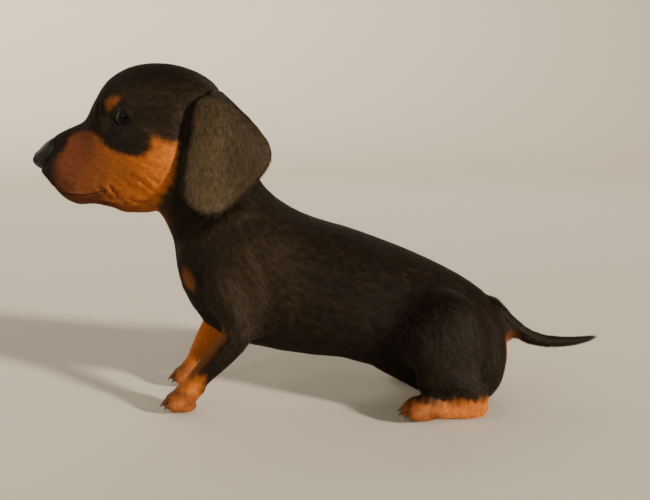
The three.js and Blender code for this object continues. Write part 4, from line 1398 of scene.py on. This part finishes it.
hide_surface = hide.surface()
horn_finish, bench = new_finish("horn")
layers = bench.noise(bench.body(), 450.0, 2.0)
bench.surface({
    "Base Color": bench.blended(layers, (0.010, 0.0075, 0.0060, 1), (0.045, 0.033, 0.025, 1)),
    "Roughness": 0.3 + 0.15 * layers,
})
claws = []
for foot, (x, y) in FEET.items():
    for place, tip in toes_of(foot):
        claws.append(claw(tip + CLAW["root"], np.array([-1.0, 0.06 * place, 0.0])))
    if "foreleg" in foot:
        inner_way = -math.copysign(1, y)
        start = Vector((x + DEWCLAW["back"], y + DEWCLAW["off"] * inner_way, DEWCLAW["height"]))
        met = hide_surface.ray_cast(start, Vector((0, -inner_way, 0)))[0]
        way = np.array([-0.8, 0.25 * inner_way, -0.5])
        claws.append(claw(DEWCLAW["root"] + np.array(met), way, DEWCLAW["size"]))
made_piece("claws", *joined(claws), horn_finish, "nose_leather")

# The whiskers: fine dark bristles that taper, in rows on the muzzle, with a few over each eye, on the
# cheek and under the chin. Each row gives the x and z of its two ends, how many, how long and the way.
WHISKERS = {
    "upper muzzle": ((-151, 133.5), (-139, 139.0), 9, 11.0, (0.75, 0.95, -0.15)),
    "lower muzzle": ((-149, 130.0), (-140, 132.0), 6, 12.5, (0.7, 0.9, -0.4)),
    "brow": ((-119, 179.5), (-114, 181.0), 2, 8.0, (-0.1, 0.8, 0.7)),
    "cheek": ((-108, 136.0), (-106, 133.0), 2, 9.0, (0.8, 0.9, -0.3)),
    "chin": ((-140, 120.5), (-134, 120.0), 3, 7.0, (0.5, 0.6, -0.8)),
}
WHISKER_ROOT = 0.085
draw = np.random.default_rng(7)


def bristle(root, way, long, thick):
    """A tapering bristle that leaves the skin one way and droops."""
    share = np.linspace(-0.08, 1, 8)
    line = root + np.outer(share * long, way / np.linalg.norm(way))
    line[:, 2] -= 0.12 * long * np.clip(share, 0, 1) ** 2
    return swept(line, thick * (1.04 - np.clip(share, 0, 1)), 4, (0.3, 0, 1))


def from_side(x, z, side):
    """The place where a line across the puppy meets its skin."""
    return np.array(hide_surface.ray_cast(Vector((x, side * 70, z)), Vector((0, -side, 0)))[0])


whiskers = []
for side in (-1, 1):
    for first, last, count, long, way in WHISKERS.values():
        for share in np.linspace(0, 1, count):
            x = first[0] + (last[0] - first[0]) * share + draw.uniform(-0.5, 0.5)
            z = first[1] + (last[1] - first[1]) * share + draw.uniform(-0.7, 0.7)
            turned = np.array(way) * (1, side, 1) + draw.uniform(-0.14, 0.14, 3)
            own_long = long * draw.uniform(0.75, 1.15)
            whiskers.append(bristle(from_side(x, z, side), turned, own_long, WHISKER_ROOT))
whisker_finish, bench = new_finish("whisker")
bench.surface({"Base Color": (0.018, 0.012, 0.009, 1), "Roughness": 0.35})
made_piece("whiskers", *joined(whiskers), whisker_finish)

# The bristles of the breast: short pale hairs, coarser than the coat, that stand out of the two tan
# spots and hang back over them.
BREAST = {"count": 26, "middle": (-78.5, 77.5), "root": 0.07}
bristles = []
for side in (-1, 1):
    for _ in range(BREAST["count"]):
        x = BREAST["middle"][0] + draw.uniform(-2.5, 3.5)
        z = BREAST["middle"][1] + draw.uniform(-5, 4)
        way = np.array([0.45 + draw.uniform(-0.15, 0.2), 0.35 * side, -0.85])
        bristles.append(bristle(from_side(x, z, side), way, draw.uniform(3.5, 6.5), BREAST["root"]))
pale_finish, bench = new_finish("pale_bristle")
bench.surface({"Base Color": (0.42, 0.30, 0.19, 1), "Roughness": 0.45})
made_piece("breast_bristles", *joined(bristles), pale_finish)

# The studio: a pale floor that sweeps up into a wall all round, a soft lamp low on the right and
# behind the camera, and weaker ones to fill and to edge the back. The camera stands half a metre
# from the puppy and a little above its back. Its sizes are in metres.
FLAT_REACH, SWEEP, WALL = 1.7, 1.1, 3.2
AROUND = 96
FLOOR_DROP = 0.0002
bend = np.linspace(0, math.pi / 2, 16)
profile = [(FLAT_REACH * share, 0) for share in (0.35, 0.7)]
profile += [(FLAT_REACH + SWEEP * math.sin(turn), SWEEP * (1 - math.cos(turn))) for turn in bend]
profile += [(FLAT_REACH + SWEEP, WALL)]
stage_points, stage_faces = [(0, 0, 0)], []
for reach, height in profile:
    for step in range(AROUND):
        turn = 2 * math.pi * step / AROUND
        stage_points.append((reach * math.cos(turn), reach * math.sin(turn), height))
for step in range(AROUND):
    beside = (step + 1) % AROUND
    stage_faces.append((0, 1 + step, 1 + beside))
    for row in range(len(profile) - 1):
        ring, outer = 1 + row * AROUND, 1 + (row + 1) * AROUND
        stage_faces.append((ring + step, outer + step, outer + beside, ring + beside))
sweep = object_from("floor", np.array(stage_points) / MM - SHIFT - (0, 0, FLOOR_DROP / MM), stage_faces)
sweep.data.shade_smooth()
sweep.visible_shadow = False
paper, bench = new_finish("paper")
bench.surface({"Base Color": (0.62, 0.60, 0.56, 1), "Roughness": 0.9})
sweep.data.materials.append(paper)

world = bpy.data.worlds.new("room")
world.use_nodes = True
world.node_tree.nodes["Background"].inputs["Color"].default_value = (0.95, 0.96, 1, 1)
world.node_tree.nodes["Background"].inputs["Strength"].default_value = 0.12
bpy.context.scene.world = world

LOOKED_AT = Vector((0, 0, 0.08))
LAMPS = (
    ("key", "SUN", (1.0, -0.72, 0.44), math.radians(6), 7.2, (1, 0.85, 0.64)),
    ("fill", "AREA", (-0.9, -1.0, 0.8), 0.5, 2.6, (1, 0.97, 0.95)),
    ("edge", "AREA", (0.3, 1.2, 1.0), 0.7, 2.6, (1, 0.90, 0.78)),
)
for name, kind, place, size, power, colour in LAMPS:
    light = bpy.data.lights.new(name, kind)
    if kind == "SUN":
        light.angle = size
    else:
        light.shape = "DISK"
        light.size = size
    light.energy = power
    light.color = colour
    lamp = placed(name, light)
    lamp.location = place
    lamp.rotation_euler = (LOOKED_AT - Vector(place)).to_track_quat("-Z", "Y").to_euler()

LENS, SENSOR = 49.85, 36
CAMERA_PLACE = (SHIFT[0] * MM, -0.522, 0.177)
LOOKS_DOWN = math.radians(9.46)
camera = placed("camera", bpy.data.cameras.new("camera"))
camera.data.sensor_width = SENSOR
camera.data.lens = LENS
camera.data.clip_start = 0.01
camera.location = CAMERA_PLACE
camera.rotation_euler = (math.pi / 2 - LOOKS_DOWN, 0, 0)
bpy.context.scene.camera = camera
